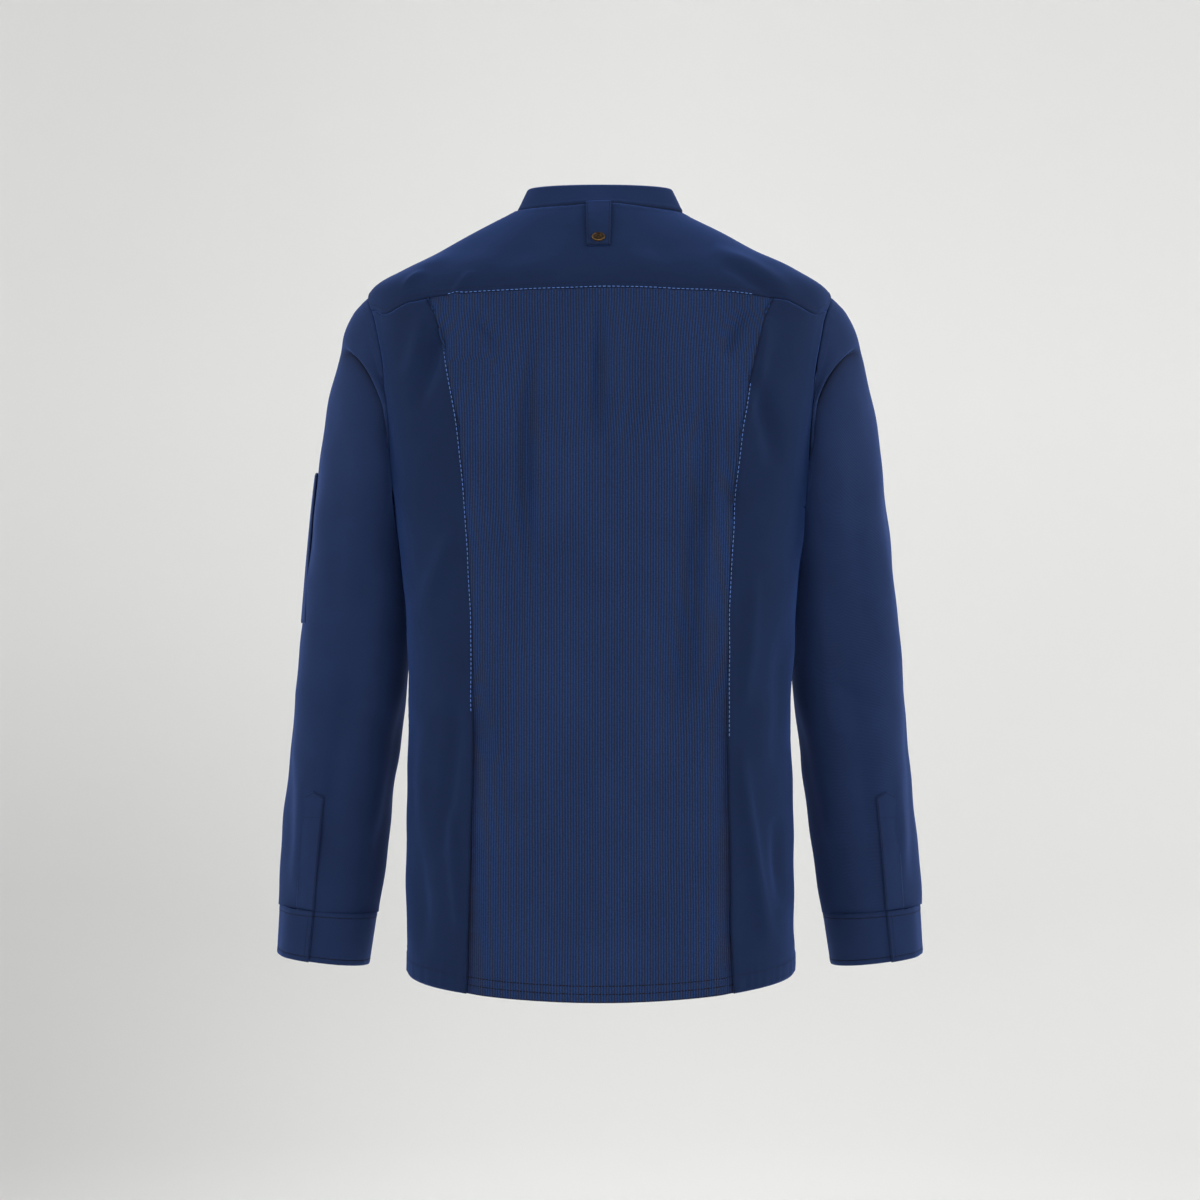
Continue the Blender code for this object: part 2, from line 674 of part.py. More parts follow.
def make_collar():
    """The band collar, its left end lapped over its right end in front."""
    neckline_ring = np.zeros(len(OVER_COLUMNS))
    over = front_angle_at(neckline_ring, np.array(OVER_COLUMNS[::-1]) * MM)
    under = front_angle_at(neckline_ring, -np.array(UNDER_COLUMNS) * MM)
    round_back = np.linspace(-under[-1], over[0], 31)[1:-1]
    angle = np.concatenate([-under, round_back, over])
    angle, height = np.meshgrid(angle, np.linspace(1, 0, 4))
    band = BodyRing(*read_rows((TORSO_RINGS[0], COLLAR_TOP), height))
    plain = ring_points(band, angle)
    normal = surface_normals(plain, tube=False)
    x = plain[..., 0]
    ramp = 1 - smooth((x - RAMP[0]) / (RAMP[1] - RAMP[0]))
    push = (BAND + LAYER_GAP) * ramp * (angle > SIDE)
    outer = plain + normal * push[..., None]
    outer[-1] += unit(plain[-2] - plain[-1]) * COLLAR_FOOT_LIFT * push[-1][:, None]
    return cloth("collar", inset(outer), BAND)


def make_tab():
    """The loop below the collar, held down by a stud at its foot."""
    share = np.linspace(0, 1, 9)[:, None]
    ring = share * TAB_FOOT_RING
    x = TAB_X + np.linspace(-1, 1, 5) * TAB_WIDTH / 2 * (1 - TAB_TAPER * share)
    ring, x = np.broadcast_arrays(ring, x)
    angle = np.sign(x) * angle_at(ring, np.abs(x))
    to_stud = np.clip(ring / TAB_STUD_RING, 0, 1)
    lift = LAYER_GAP + TAB_ARCH * np.sin(math.pi * to_stud)
    normal = torso_normal(ring, angle)
    push = body_folds(ring, angle) + lift + CLOTH
    return cloth("back_tab", torso(ring, angle) + normal * push[..., None])


def make_stud(name, point, normal):
    """A turned press-stud cap, dished inside its rim, its foot on the cloth."""
    mesh = bpy.data.meshes.new(name)
    points = [(r * STUD_RADIUS, 0, h * STUD_HEIGHT) for r, h in STUD_PROFILE]
    mesh.from_pydata(points, [(i, i + 1) for i in range(len(points) - 1)], [])
    stud = add_object(name, mesh, "aged_brass")
    turn = stud.modifiers.new("turn", "SCREW")
    turn.axis, turn.steps, turn.render_steps = "Z", 16, 16
    turn.use_merge_vertices, turn.merge_threshold = True, 0.00001
    stud.location = point + normal * STUD_SEAT
    upright = np.array([0.0, 0.0, 1.0])
    axis = np.cross(upright, normal)
    lean = math.acos(float(np.clip(normal @ upright, -1, 1)))
    stud.rotation_mode = "AXIS_ANGLE"
    stud.rotation_axis_angle = (lean, *unit(axis))
    return stud


def make_studs():
    """The loop's stud, one on the collar and a row down the centre front."""
    ring = np.array(TAB_STUD_RING)
    angle = angle_at(ring, np.array(TAB_X))
    normal = torso_normal(ring, angle)
    lift = LAYER_GAP + CLOTH + float(body_folds(ring, angle))
    make_stud("back_tab_stud", torso(ring, angle) + normal * lift, normal)

    rings = np.linspace(0, LAST_RING, 300)
    heights = torso(rings, math.pi)[:, 2]
    for number in range(1, FRONT_STUDS + 1):
        height = FRONT_STUD_TOP + FRONT_STUD_SPACING * (number - 1)
        ring, angle = np.interp(-height, -heights, rings), np.array(math.pi)
        normal = torso_normal(ring, angle)
        lift = CLOTH + LAYER_GAP + float(body_folds(ring, angle))
        make_stud(f"front_stud_{number}", torso(ring, angle) + normal * lift, normal)

    neckline, top = torso(0, math.pi), ring_points(BodyRing(*COLLAR_TOP), math.pi)
    up = unit(top - neckline)
    normal = np.cross(np.array([1.0, 0, 0]), up)
    middle = (neckline + top) / 2
    make_stud("collar_stud", middle + normal * (BAND + LAYER_GAP), normal)


def clear_scene():
    """Empties the scene and makes the jacket's collection."""
    for old in list(bpy.data.objects):
        bpy.data.objects.remove(old)
    jacket = bpy.data.collections.new("chef_jacket")
    bpy.context.scene.collection.children.link(jacket)


def build_jacket():
    """Every piece of the jacket, one object each."""
    clear_scene()
    make_yoke()
    make_centre_back()
    for side, flip in (("left", False), ("right", True)):
        make_side_back(f"side_back_{side}", flip)
        make_front(f"front_{side}", flip)
        make_sleeve(f"sleeve_{side}", flip)
        make_cuff(f"cuff_{side}", flip)
        make_sleeve_placket(f"sleeve_placket_{side}", flip)
    make_collar()
    make_tab()
    make_pocket()
    make_studs()


build_jacket()
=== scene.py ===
"""Looks of a chef jacket with a band collar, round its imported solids.

Metres, +Z up, front towards -Y, the wearer's left towards +X, the origin in the middle
of the neck opening. Every piece of cloth is a grid of points on its outer face, laid on
the form of its own solid, with seams, hems, puckers and creases as small pushes along
the surface, and a Solidify modifier gives it its thickness inwards. Tables are in
millimetres unless their columns say otherwise.
"""

import logging
import math
from dataclasses import dataclass, field
from enum import Enum
from typing import NamedTuple

import bpy
import numpy as np
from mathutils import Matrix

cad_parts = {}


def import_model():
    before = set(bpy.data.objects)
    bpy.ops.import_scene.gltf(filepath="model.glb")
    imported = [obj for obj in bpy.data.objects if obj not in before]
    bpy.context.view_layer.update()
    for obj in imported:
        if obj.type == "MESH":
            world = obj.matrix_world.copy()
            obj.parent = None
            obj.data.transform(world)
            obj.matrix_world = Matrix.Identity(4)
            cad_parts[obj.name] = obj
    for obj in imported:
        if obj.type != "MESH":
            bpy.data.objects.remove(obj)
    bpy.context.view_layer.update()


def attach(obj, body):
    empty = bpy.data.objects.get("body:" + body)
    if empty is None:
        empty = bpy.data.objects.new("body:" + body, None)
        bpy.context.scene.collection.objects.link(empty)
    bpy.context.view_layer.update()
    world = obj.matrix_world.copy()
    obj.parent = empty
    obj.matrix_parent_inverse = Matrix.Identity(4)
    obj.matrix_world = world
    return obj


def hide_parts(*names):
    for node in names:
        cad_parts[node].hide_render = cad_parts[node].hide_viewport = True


MM = 0.001
LOG = logging.getLogger("chef_jacket")
Array = np.ndarray
HALVINGS = 32               # of a search for an angle, far finer than any mesh
FACING = (0.12, 0.45)       # where a crease fades as cloth turns away: start and span
CREASE_END_POWER = 0.8


# ---------------------------------------------------------------- numbers and curves


def smooth(value: Array | float) -> Array:
    """A smooth step: 3t^2 - 2t^3, held at 0 below 0 and at 1 above 1.

    Args:
        value: t, of any shape.

    Returns:
        The step, of the same shape.
    """
    value = np.clip(value, 0, 1)
    return value * value * (3 - 2 * value)


def bump(value: Array | float) -> Array:
    """The bell e^(-t^2), 1 at 0."""
    return np.exp(-np.square(value))


def unit(vectors: Array) -> Array:
    """Vectors divided by their lengths."""
    return vectors / np.linalg.norm(vectors, axis=-1, keepdims=True)


def read_rows(table: tuple, position: Array | float) -> Array:
    """A table read between its rows, on a Catmull-Rom curve with straight ends.

    Args:
        table: rows of numbers.
        position: row numbers, which may be fractional, of any shape.

    Returns:
        One array for each column, each of the shape of position.
    """
    rows = np.asarray(table, float)
    position = np.asarray(position, float)
    start = np.clip(np.floor(position).astype(int), 0, len(rows) - 2)
    share = (position - start)[..., None]
    rows = np.vstack([2 * rows[0] - rows[1], rows, 2 * rows[-1] - rows[-2]])
    before, first, second, after = (rows[start + step] for step in range(4))
    read = 0.5 * (
        2 * first
        + (second - before) * share
        + (2 * before - 5 * first + 4 * second - after) * share**2
        + (3 * first - before - 3 * second + after) * share**3
    )
    return np.moveaxis(read, -1, 0)


def oval(angle: Array, half_x: Array, half_y: Array, squareness: Array) -> Array:
    """The reach of a rounded oval: (|sin/a|^n + |cos/b|^n)^(-1/n).

    Args:
        angle: from the oval's y axis, in radians.
        half_x: a, half its width.
        half_y: b, half its depth.
        squareness: n, 2 for an ellipse and more for a rounder rectangle.

    Returns:
        Distances from its middle.
    """
    across = np.abs(np.sin(angle) / half_x) ** squareness
    along = np.abs(np.cos(angle) / half_y) ** squareness
    return (across + along) ** (-1 / squareness)


def ripple(along: Array, period: float, seed: int) -> Array:
    """An uneven wave: four sines of unlike periods and fixed phases, added.

    Args:
        along: distance along a seam.
        period: its mean wavelength, in the same unit.
        seed: picks the phases.

    Returns:
        The wave, mostly between -1 and 1.
    """
    phases = np.random.default_rng(seed).uniform(0, 2 * math.pi, 4)
    total = np.zeros_like(along)
    for share, weight, phase in zip((0.61, 1.0, 1.37, 2.3), (0.4, 0.5, 0.35, 0.2), phases):
        total = total + weight * np.sin(2 * math.pi * along * share / period + phase)
    return total


def surface_normals(points: Array, tube: bool) -> Array:
    """Unit normals of a grid: the cross product of its steps round and down.

    Args:
        points: rows by columns of points.
        tube: whether the last column joins the first.

    Returns:
        One outward normal for each point.
    """
    down = np.gradient(points, axis=0)
    if tube:
        round_it = (np.roll(points, -1, axis=1) - np.roll(points, 1, axis=1)) / 2
    else:
        round_it = np.gradient(points, axis=1)
    return unit(np.cross(round_it, down))


def lengths(points: Array, axis: int) -> Array:
    """Distance along each grid line from its first point, as a running sum of steps.

    Args:
        points: rows by columns of points.
        axis: 0 to go down the columns, 1 to go along the rows.

    Returns:
        Rows by columns of distances, in metres.
    """
    steps = np.linalg.norm(np.diff(points, axis=axis), axis=-1)
    start = np.zeros_like(np.take(steps, [0], axis=axis))
    return np.concatenate([start, np.cumsum(steps, axis=axis)], axis=axis)


def corners(grid: Array) -> Array:
    """The four corners of each quad of a grid, in turn, on a new third axis."""
    parts = grid[:-1, :-1], grid[:-1, 1:], grid[1:, 1:], grid[1:, :-1]
    return np.stack(parts, axis=2)


def read_along(at: Array, reached: Array, values: Array) -> Array:
    """Values on a line, read at distances along it.

    Args:
        at: distances.
        reached: the distance of each of the line's points from its start.
        values: points by 3.

    Returns:
        Distances by 3.
    """
    return np.stack([np.interp(at, reached, values[:, k]) for k in range(3)], axis=-1)


def new_object(name: str, data: bpy.types.ID) -> bpy.types.Object:
    """Puts a new object in the scene, at the origin.

    Args:
        name: its name.
        data: its mesh, lamp or camera.

    Returns:
        The object.
    """
    made = bpy.data.objects.new(name, data)
    bpy.context.scene.collection.objects.link(made)
    return made


def quads_round(rings: int, sides: int) -> tuple[Array, Array, Array]:
    """Numbers of the points on closed rings, and the quads between the rings.

    Args:
        rings: how many rings.
        sides: how many points on each.

    Returns:
        Rings by sides of numbers, the same turned one point on, and the quads.
    """
    number = np.arange(rings * sides).reshape(rings, sides)
    turned = np.roll(number, -1, axis=1)
    quads = np.stack([number[:-1], number[1:], turned[1:], turned[:-1]], axis=-1)
    return number, turned, quads.reshape(-1, 4)


def hex_colour(text: str) -> tuple[float, float, float, float]:
    """An sRGB hex colour as the linear colour that shaders use.

    Args:
        text: such as "#22304f".

    Returns:
        Linear red, green and blue, and 1.
    """
    srgb = [int(text[i : i + 2], 16) / 255 for i in (1, 3, 5)]
    linear = [((c + 0.055) / 1.055) ** 2.4 if c > 0.04045 else c / 12.92 for c in srgb]
    return (*linear, 1.0)


# ---------------------------------------------------------------- the body's form


class BodyRing(NamedTuple):
    """Columns of the body's table."""

    half_width: Array
    side_y: Array
    side_z: Array
    back_y: Array
    back_z: Array
    front_y: Array
    front_z: Array
    squareness: Array
    seam_x: Array


class Fold(NamedTuple):
    """Columns of the table of large folds: millimetres, degrees and ring numbers."""

    depth: float
    angle: float
    half_width: float
    ring: float
    half_length: float


BACK_SIDE = math.radians(90)


@dataclass(frozen=True)
class BodyForm:
    """The body as one smooth surface: rings 0 at the neckline to 15 at the hem.

    Angles run round each ring from the centre back, positive towards the wearer's left.
    """

    rings: tuple = (
        (79.0, -8, 0, 35, 4, -58, -66, 2.00, 120),
        (113.0, -7, -19.3, 62, -22, -67, -81, 2.10, 132),
        (151.0, -5, -39.6, 86, -44.5, -77, -96, 2.30, 146),
        (187.0, -3, -57.6, 104, -65, -87, -112, 2.50, 157),
        (217.0, -1, -80.0, 116, -86, -97, -130, 2.70, 163),
        (216.5, 0, -112, 127, -120, -107, -154, 2.90, 149),
        (210.5, 0, -155, 134, -160, -116, -187, 3.00, 139),
        (204.0, 0, -203, 138, -205, -122, -224, 3.00, 130.5),
        (198.0, 0, -250, 138.5, -250, -125, -263, 2.80, 125),
        (192.0, 0, -300, 136, -300, -125, -308, 2.60, 121),
        (185.5, 0, -370, 129, -370, -122, -374, 2.45, 117.5),
        (181.5, 0, -450, 122, -450, -119, -452, 2.40, 116.3),
        (182.0, 0, -530, 121, -530, -119, -531, 2.35, 117.3),
        (183.0, 0, -620, 125, -620, -122, -620, 2.35, 119.5),
        (183.6, 0, -700, 128, -700, -125, -700, 2.35, 121.5),
        (183.6, 0, -734, 130, -734, -126, -734, 2.35, 123),
    )
    folds: tuple = (
        (2.2, 0, 9, 7.5, 3.5),
        (-1.8, 17, 7, 8.5, 3.8),
        (1.6, -19, 8, 9.5, 3.6),
        (-2.0, -33, 7, 7.0, 3.0),
        (1.8, 33, 8, 11.5, 3.0),
        (-1.6, 5, 8, 12.5, 2.8),
        (2.0, 62, 9, 12.0, 3.4),
        (2.0, -62, 9, 12.6, 3.2),
        (-2.4, 112, 9, 11.0, 3.6),
        (-2.4, -112, 9, 11.6, 3.4),
        (2.6, 136, 9, 12.4, 3.0),
        (2.6, -138, 9, 11.8, 3.2),
    )
    hem_rise: float = 18.5 * MM
    hem_rise_power: float = 1.1
    hem_ring_spacing: float = 34 * MM
    yoke_seam: float = 4.0
    yoke_drop_power: float = 2.2
    yoke_dip: float = 0.27
    yoke_dip_at: float = math.radians(68.5)
    yoke_dip_half: float = math.radians(6)
    armhole_ring: float = 6.4
    armhole_reach: float = 2.3
    armhole_back: float = math.radians(19.2)
    armhole_front: float = math.radians(17.9)
    yoke_turn: float = math.radians(41.5)
    shoulder_turn: float = math.radians(26.5)

    @property
    def last(self) -> int:
        """The hem's ring number at the centre back."""
        return len(self.rings) - 1

    def ring_points(self, ring: BodyRing, angle: Array) -> Array:
        """Points of rings: out from the middle by the oval's reach, z by cos^2.

        Args:
            ring: the columns of one ring, or of many.
            angle: from the centre back, in radians.

        Returns:
            Points, last axis x, y, z.
        """
        behind = np.cos(angle) >= 0
        depth = np.where(behind, ring.back_y - ring.side_y, ring.side_y - ring.front_y)
        reach = oval(angle, ring.half_width, depth, ring.squareness)
        end_z = np.where(behind, ring.back_z, ring.front_z)
        height = ring.side_z + (end_z - ring.side_z) * np.cos(angle) ** 2
        across, along = reach * np.sin(angle), ring.side_y + reach * np.cos(angle)
        return MM * np.stack([across, along, height], axis=-1)

    def plain(self, ring: Array | float, angle: Array | float) -> Array:
        """Points of the surface without its folds.

        Args:
            ring: ring numbers, which may be fractional.
            angle: from the centre back, in radians.

        Returns:
            Points, last axis x, y, z.
        """
        ring, angle = np.broadcast_arrays(np.asarray(ring, float), angle)
        return self.ring_points(BodyRing(*read_rows(self.rings, ring)), angle)

    def normal(self, ring: Array | float, angle: Array | float) -> Array:
        """Outward unit normals of the plain surface, from small steps both ways.

        Args:
            ring: ring numbers.
            angle: from the centre back, in radians.

        Returns:
            Unit vectors.
        """
        step = 1e-3
        low = np.minimum(np.asarray(ring, float) + step, self.last)
        down = self.plain(low, angle) - self.plain(np.asarray(ring) - step, angle)
        round_it = self.plain(ring, angle + step) - self.plain(ring, angle - step)
        return unit(np.cross(round_it, down))

    def fold_push(self, ring: Array, angle: Array) -> Array:
        """How far the large folds push the cloth out: a sum of round bells.

        Args:
            ring: ring numbers.
            angle: from the centre back, in radians.

        Returns:
            Distances in metres, outwards.
        """
        push = np.zeros(np.broadcast(ring, angle).shape)
        for fold in (Fold(*row) for row in self.folds):
            across = (np.degrees(angle) - fold.angle) / fold.half_width
            push = push + fold.depth * MM * bump(across) * bump(
                (ring - fold.ring) / fold.half_length
            )
        return push

    def angle_at(self, ring: Array, x: Array) -> Array:
        """The angle, behind the side seam, where a ring is at x, by halving.

        Args:
            ring: ring numbers.
            x: metres, 0 or more.

        Returns:
            Angles in radians.
        """
        low, high = np.zeros_like(ring), np.full_like(ring, BACK_SIDE)
        for _ in range(HALVINGS):
            middle = (low + high) / 2
            short = self.plain(ring, middle)[..., 0] < x
            low, high = np.where(short, middle, low), np.where(short, high, middle)
        return low

    def front_angle_at(self, ring: Array, x: float) -> Array:
        """The angle, in front of the side seam, where a ring is at x, by halving.

        Args:
            ring: ring numbers.
            x: metres, less than 0 on the wearer's right.

        Returns:
            Angles in radians, past a half turn where x is less than 0.
        """
        low, high = np.full_like(ring, BACK_SIDE), np.full_like(ring, 3 * BACK_SIDE)
        for _ in range(HALVINGS):
            middle = (low + high) / 2
            wide = self.plain(ring, middle)[..., 0] > x
            low, high = np.where(wide, middle, low), np.where(wide, high, middle)
        return low

    def hem(self, angle: Array | float) -> Array:
        """The hem's ring, which rises by a power of 1 - |cos| to the side seams."""
        rise = self.hem_rise * (1 - np.abs(np.cos(angle))) ** self.hem_rise_power
        return self.last - rise / self.hem_ring_spacing

    def yoke(self, angle: Array | float) -> Array:
        """The yoke seam's ring: a drop by a power of the angle, and a dip, a bell."""
        reach = BACK_SIDE - self.armhole_back * math.sin(self.yoke_turn)
        end = self.armhole_ring - self.armhole_reach * math.cos(self.yoke_turn)
        away = np.abs(angle)
        share = (away / reach) ** self.yoke_drop_power
        dip = bump((away - self.yoke_dip_at) / self.yoke_dip_half)
        dip = self.yoke_dip * dip * smooth((reach - away) / self.yoke_dip_half)
        return self.yoke_seam + (end - self.yoke_seam) * share + dip

    def armhole(self, turn: Array | float) -> tuple[Array, Array]:
        """Ring and angle of the armhole, an oval turned from its top over the back."""
        half = np.where(np.sin(turn) >= 0, self.armhole_back, self.armhole_front)
        ring = self.armhole_ring - self.armhole_reach * np.cos(turn)
        return ring, BACK_SIDE - half * np.sin(turn)

    def panel_seam(self, shares: Array) -> tuple[Array, Array]:
        """The seam between the centre and side back panels, found by repeating.

        Args:
            shares: of the way from the yoke seam to the hem.

        Returns:
            Ring numbers and angles of the seam.
        """
        angle = np.full_like(shares, math.radians(62))
        for _ in range(12):
            ring = self.yoke(angle) + shares * (self.hem(angle) - self.yoke(angle))
            seam_x = BodyRing(*read_rows(self.rings, ring)).seam_x * MM
            angle = self.angle_at(ring, seam_x)
        return ring, angle


# ---------------------------------------------------------------- creases


class Seen(Enum):
    """The side that a crease is drawn from: its outward direction and its x axis."""

    BACK = ((0.0, 1.0, 0.0), (1.0, 0.0, 0.0))
    FRONT = ((0.0, -1.0, 0.0), (1.0, 0.0, 0.0))
    LEFT = ((1.0, 0.0, 0.0), (0.0, 1.0, 0.0))
    RIGHT = ((-1.0, 0.0, 0.0), (0.0, 1.0, 0.0))


class Crease(NamedTuple):
    """Columns of a table of creases, in millimetres but for the lean.

    A crease is drawn on the flat picture of one side: from a point to another, bowed
    sideways by bend in its middle. It pushes the cloth out by its depth, or in below
    zero, and lean makes the flank on its right steeper.
    """

    from_x: float
    from_z: float
    to_x: float
    to_z: float
    bend: float
    half_width: float
    depth: float
    lean: float


def crease_push(points: Array, normals: Array, seen: Seen, table: tuple) -> Array:
    """How far a table of creases pushes cloth out.

    Along a crease the push fades to its ends as 1 - (2t-1)^2 to CREASE_END_POWER, and
    across it is a bell times 1 + lean times the distance in half widths. It also fades
    where the cloth turns away from that side.

    Args:
        points: of the cloth.
        normals: of the cloth, outward.
        seen: the side that the table is drawn from.
        table: rows of Crease.

    Returns:
        Distances in metres, outwards.
    """
    out, right = (np.array(axis) for axis in seen.value)
    start, span = FACING
    facing = smooth((normals @ out - start) / span)
    x, z = (points @ right) / MM, points[..., 2] / MM
    push = np.zeros(points.shape[:-1])
    for row in (Crease(*cells) for cells in table):
        run = np.array([row.to_x - row.from_x, row.to_z - row.from_z])
        length = float(np.hypot(*run))
        ahead_x, ahead_z = run / length
        t = ((x - row.from_x) * ahead_x + (z - row.from_z) * ahead_z) / length
        fade = np.clip(1 - (2 * t - 1) ** 2, 0, 1) ** CREASE_END_POWER
        side = (x - row.from_x) * ahead_z - (z - row.from_z) * ahead_x
        side = (side - row.bend * fade) / row.half_width
        push = push + row.depth * fade * bump(side) * (1 + row.lean * side)
    return push * facing * MM


# ---------------------------------------------------------------- seams and panels


class Edge(Enum):
    """An edge of a cloth grid."""

    TOP = "first row"
    FOOT = "last row"
    FIRST = "first column"
    LAST = "last column"


@dataclass(frozen=True)
class SeamFinish:
    """How a panel's edge is sewn, sizes in millimetres.

    The edge rolls in, the folded layers under it make a low ridge as wide as ridge_width,
    each row of stitches draws a groove, and the cloth puckers unevenly beside them. A dark
    line of painted shade lies in the seam's groove, and an inset below 0 takes the edge a
    little past it, so that no light comes through.
    """

    roll_depth: float = 0.5
    roll_width: float = 0.8
    ridge: float = 0.22
    ridge_width: float = 7.0
    ridge_slope: float = 1.6
    rows: tuple[float, ...] = (1.6,)
    groove: float = 0.12
    groove_half: float = 0.75
    pucker: float = 0.18
    pucker_period: float = 11.0
    pucker_reach: float = 7.0
    calm: float = 1.5
    # dark, dark_at, dark_half: the painted shade in the seam's line
    dark: float = 0.5
    dark_at: float = 0.3
    dark_half: float = 0.7
    inset: float = -0.2

    def roll(self, away: Array) -> Array:
        """How far the edge rolls in: a bell, the same for both panels of a seam."""
        return -self.roll_depth * MM * bump(away / MM / self.roll_width)

    def shade(self, away: Array) -> Array:
        """How dark the painted shade in the seam's line is: a bell a little inside the edge."""
        return self.dark * bump((away / MM - self.dark_at) / self.dark_half)

    def relief(self, away: Array, along: Array, seed: int) -> Array:
        """The ridge, the grooves and the puckers beside the edge, 0 at the edge itself.

        Args:
            away: distance from the edge, in metres.
            along: distance along the edge, in metres.
            seed: picks the puckers.

        Returns:
            Distances in metres, outwards.
        """
        away, along = away / MM, along / MM
        past = (away - self.ridge_width + self.ridge_slope / 2) / self.ridge_slope
        total = self.ridge * (1 - smooth(past))
        for row in self.rows:
            total = total - self.groove * bump((away - row) / self.groove_half)
        fade = bump(away / self.pucker_reach)
        wave = ripple(along, self.pucker_period, seed)
        return (total + self.pucker * wave * fade) * MM


@dataclass
class Cloth:
    """A piece of cloth: a grid of outer points, columns towards the wearer's left.

    Rows run down. On a tube the last column joins the first.
    """

    name: str
    points: Array
    thickness: float
    tube: bool = False
    centre_column: int = 0
    seed: int = 1
    edges: dict = field(default_factory=dict)
    # painted shade in seams, under folds and beside sunk seams, 0 to 1
    shade: Array | None = None

    def away(self, edge: Edge) -> Array:
        """Distance of each point from one edge, along the grid lines that meet it.

        Args:
            edge: which edge.

        Returns:
            Rows by columns of metres.
        """
        down, across = lengths(self.points, 0), lengths(self.points, 1)
        found = {
            Edge.TOP: down,
            Edge.FOOT: down[-1:] - down,
            Edge.FIRST: across,
            Edge.LAST: across[:, -1:] - across,
        }
        return found[edge]

    def sew_edges(self) -> None:
        """Pushes the cloth beside each sewn edge, paints shade in each seam's line, and moves the
        edge, as its finish says.
        """
        normals = surface_normals(self.points, self.tube)
        shape = self.points.shape[:2]
        roll, relief = np.zeros(shape), np.zeros(shape)
        shade = np.zeros(shape) if self.shade is None else self.shade
        inside = np.ones(shape)
        for number, (edge, finish) in enumerate(self.edges.items()):
            away = self.away(edge)
            along = lengths(self.points, 1 if edge in (Edge.TOP, Edge.FOOT) else 0)
            roll = np.minimum(roll, finish.roll(away))
            relief = relief + finish.relief(away, along, self.seed * 10 + number)
            inside = inside * (1 - bump(away / MM / finish.calm))
            shade = np.maximum(shade, finish.shade(away))
        push = roll + relief * inside
        self.shade = shade
        moved = self.points + normals * push[..., None]
        for edge, finish in self.edges.items():
            self.move_edge_in(moved, edge, finish.inset * MM)
        self.points = moved

    def move_edge_in(self, points: Array, edge: Edge, inset: float) -> None:
        """Moves the outermost row or column towards its neighbour by the inset.

        Args:
            points: the grid, changed in place.
            edge: which edge.
            inset: in metres, below 0 to move it away.
        """
        if edge is Edge.TOP:
            points[0] += unit(points[1] - points[0]) * inset
        elif edge is Edge.FOOT:
            points[-1] += unit(points[-2] - points[-1]) * inset
        elif edge is Edge.FIRST:
            points[:, 0] += unit(points[:, 1] - points[:, 0]) * inset
        else:
            points[:, -1] += unit(points[:, -2] - points[:, -1]) * inset

    def line(self, edge: Edge, away: float) -> tuple[Array, Array]:
        """The line on the cloth at a fixed distance from an edge.

        It is read between grid points: on each line that meets the edge, at the share
        of the step where the distance is reached.

        Args:
            edge: which edge.
            away: in metres.

        Returns:
            Points of the line and the cloth's normals there.
        """
        distance = self.away(edge)
        grid, normals = self.points, surface_normals(self.points, self.tube)
        if edge in (Edge.FIRST, Edge.LAST):
            distance, grid = distance.T, grid.transpose(1, 0, 2)
            normals = normals.transpose(1, 0, 2)
        if edge in (Edge.FOOT, Edge.LAST):
            distance, grid, normals = distance[::-1], grid[::-1], normals[::-1]
        step = np.argmax(distance >= away, axis=0).clip(1)
        number = np.arange(distance.shape[1])
        near, far = distance[step - 1, number], distance[step, number]
        share = ((away - near) / np.maximum(far - near, 1e-9))[:, None]
        place = grid[step - 1, number] * (1 - share) + grid[step, number] * share
        facing = normals[step - 1, number] * (1 - share) + normals[step, number] * share
        return place, unit(facing)

    def rows(self, edge: Edge) -> list[tuple[Array, Array]]:
        """The lines of the rows of stitches beside an edge, with their normals."""
        return [self.line(edge, row * MM) for row in self.edges[edge].rows]

    def closed(self) -> Array:
        """The points, a tube's first column once more at its end."""
        return np.concatenate([self.points, self.points[:, :1]], axis=1) if self.tube else self.points

    def flat(self) -> tuple[float, float]:
        """The longest row and the longest column, in metres, as the cut's box."""
        points = self.closed()
        return float(lengths(points, 1)[:, -1].max()), float(lengths(points, 0)[-1].max())

    def pattern(self) -> Array:
        """Millimetres across and down the cloth, for its weave.

        Across is measured along each row from the centre column, and down along each
        column from the top, so that the weave keeps its straight grain.

        Returns:
            Rows by columns by 2.
        """
        across = lengths(self.points, 1)
        across = across - across[:, self.centre_column : self.centre_column + 1]
        down = lengths(self.points, 0)
        return np.stack([across, down.max() - down], axis=-1) / MM

    def build(self, finish: bpy.types.Material) -> bpy.types.Object:
        """Makes the object: quads between the grid's points, and its thickness.

        Args:
            finish: its material.

        Returns:
            The object.
        """
        rows, columns = self.points.shape[:2]
        number = np.arange(rows * columns).reshape(rows, columns)
        pattern = self.pattern()
        corner_map = pattern
        if self.tube:
            number = np.hstack([number, number[:, :1]])
            last = pattern[:, -1:] * 2 - pattern[:, -2:-1]
            corner_map = np.concatenate([pattern, last], axis=1)
        faces = corners(number).reshape(-1, 4)
        mesh = bpy.data.meshes.new(self.name)
        mesh.vertices.add(rows * columns)
        mesh.vertices.foreach_set("co", self.points.astype(np.float32).ravel())
        mesh.loops.add(faces.size)
        mesh.loops.foreach_set("vertex_index", faces.ravel().astype(np.int32))
        mesh.polygons.add(len(faces))
        mesh.polygons.foreach_set(
            "loop_start", np.arange(0, faces.size, 4, dtype=np.int32)
        )
        uv = mesh.uv_layers.new(name="cloth_mm")
        uv.data.foreach_set("uv", corners(corner_map).astype(np.float32).ravel())
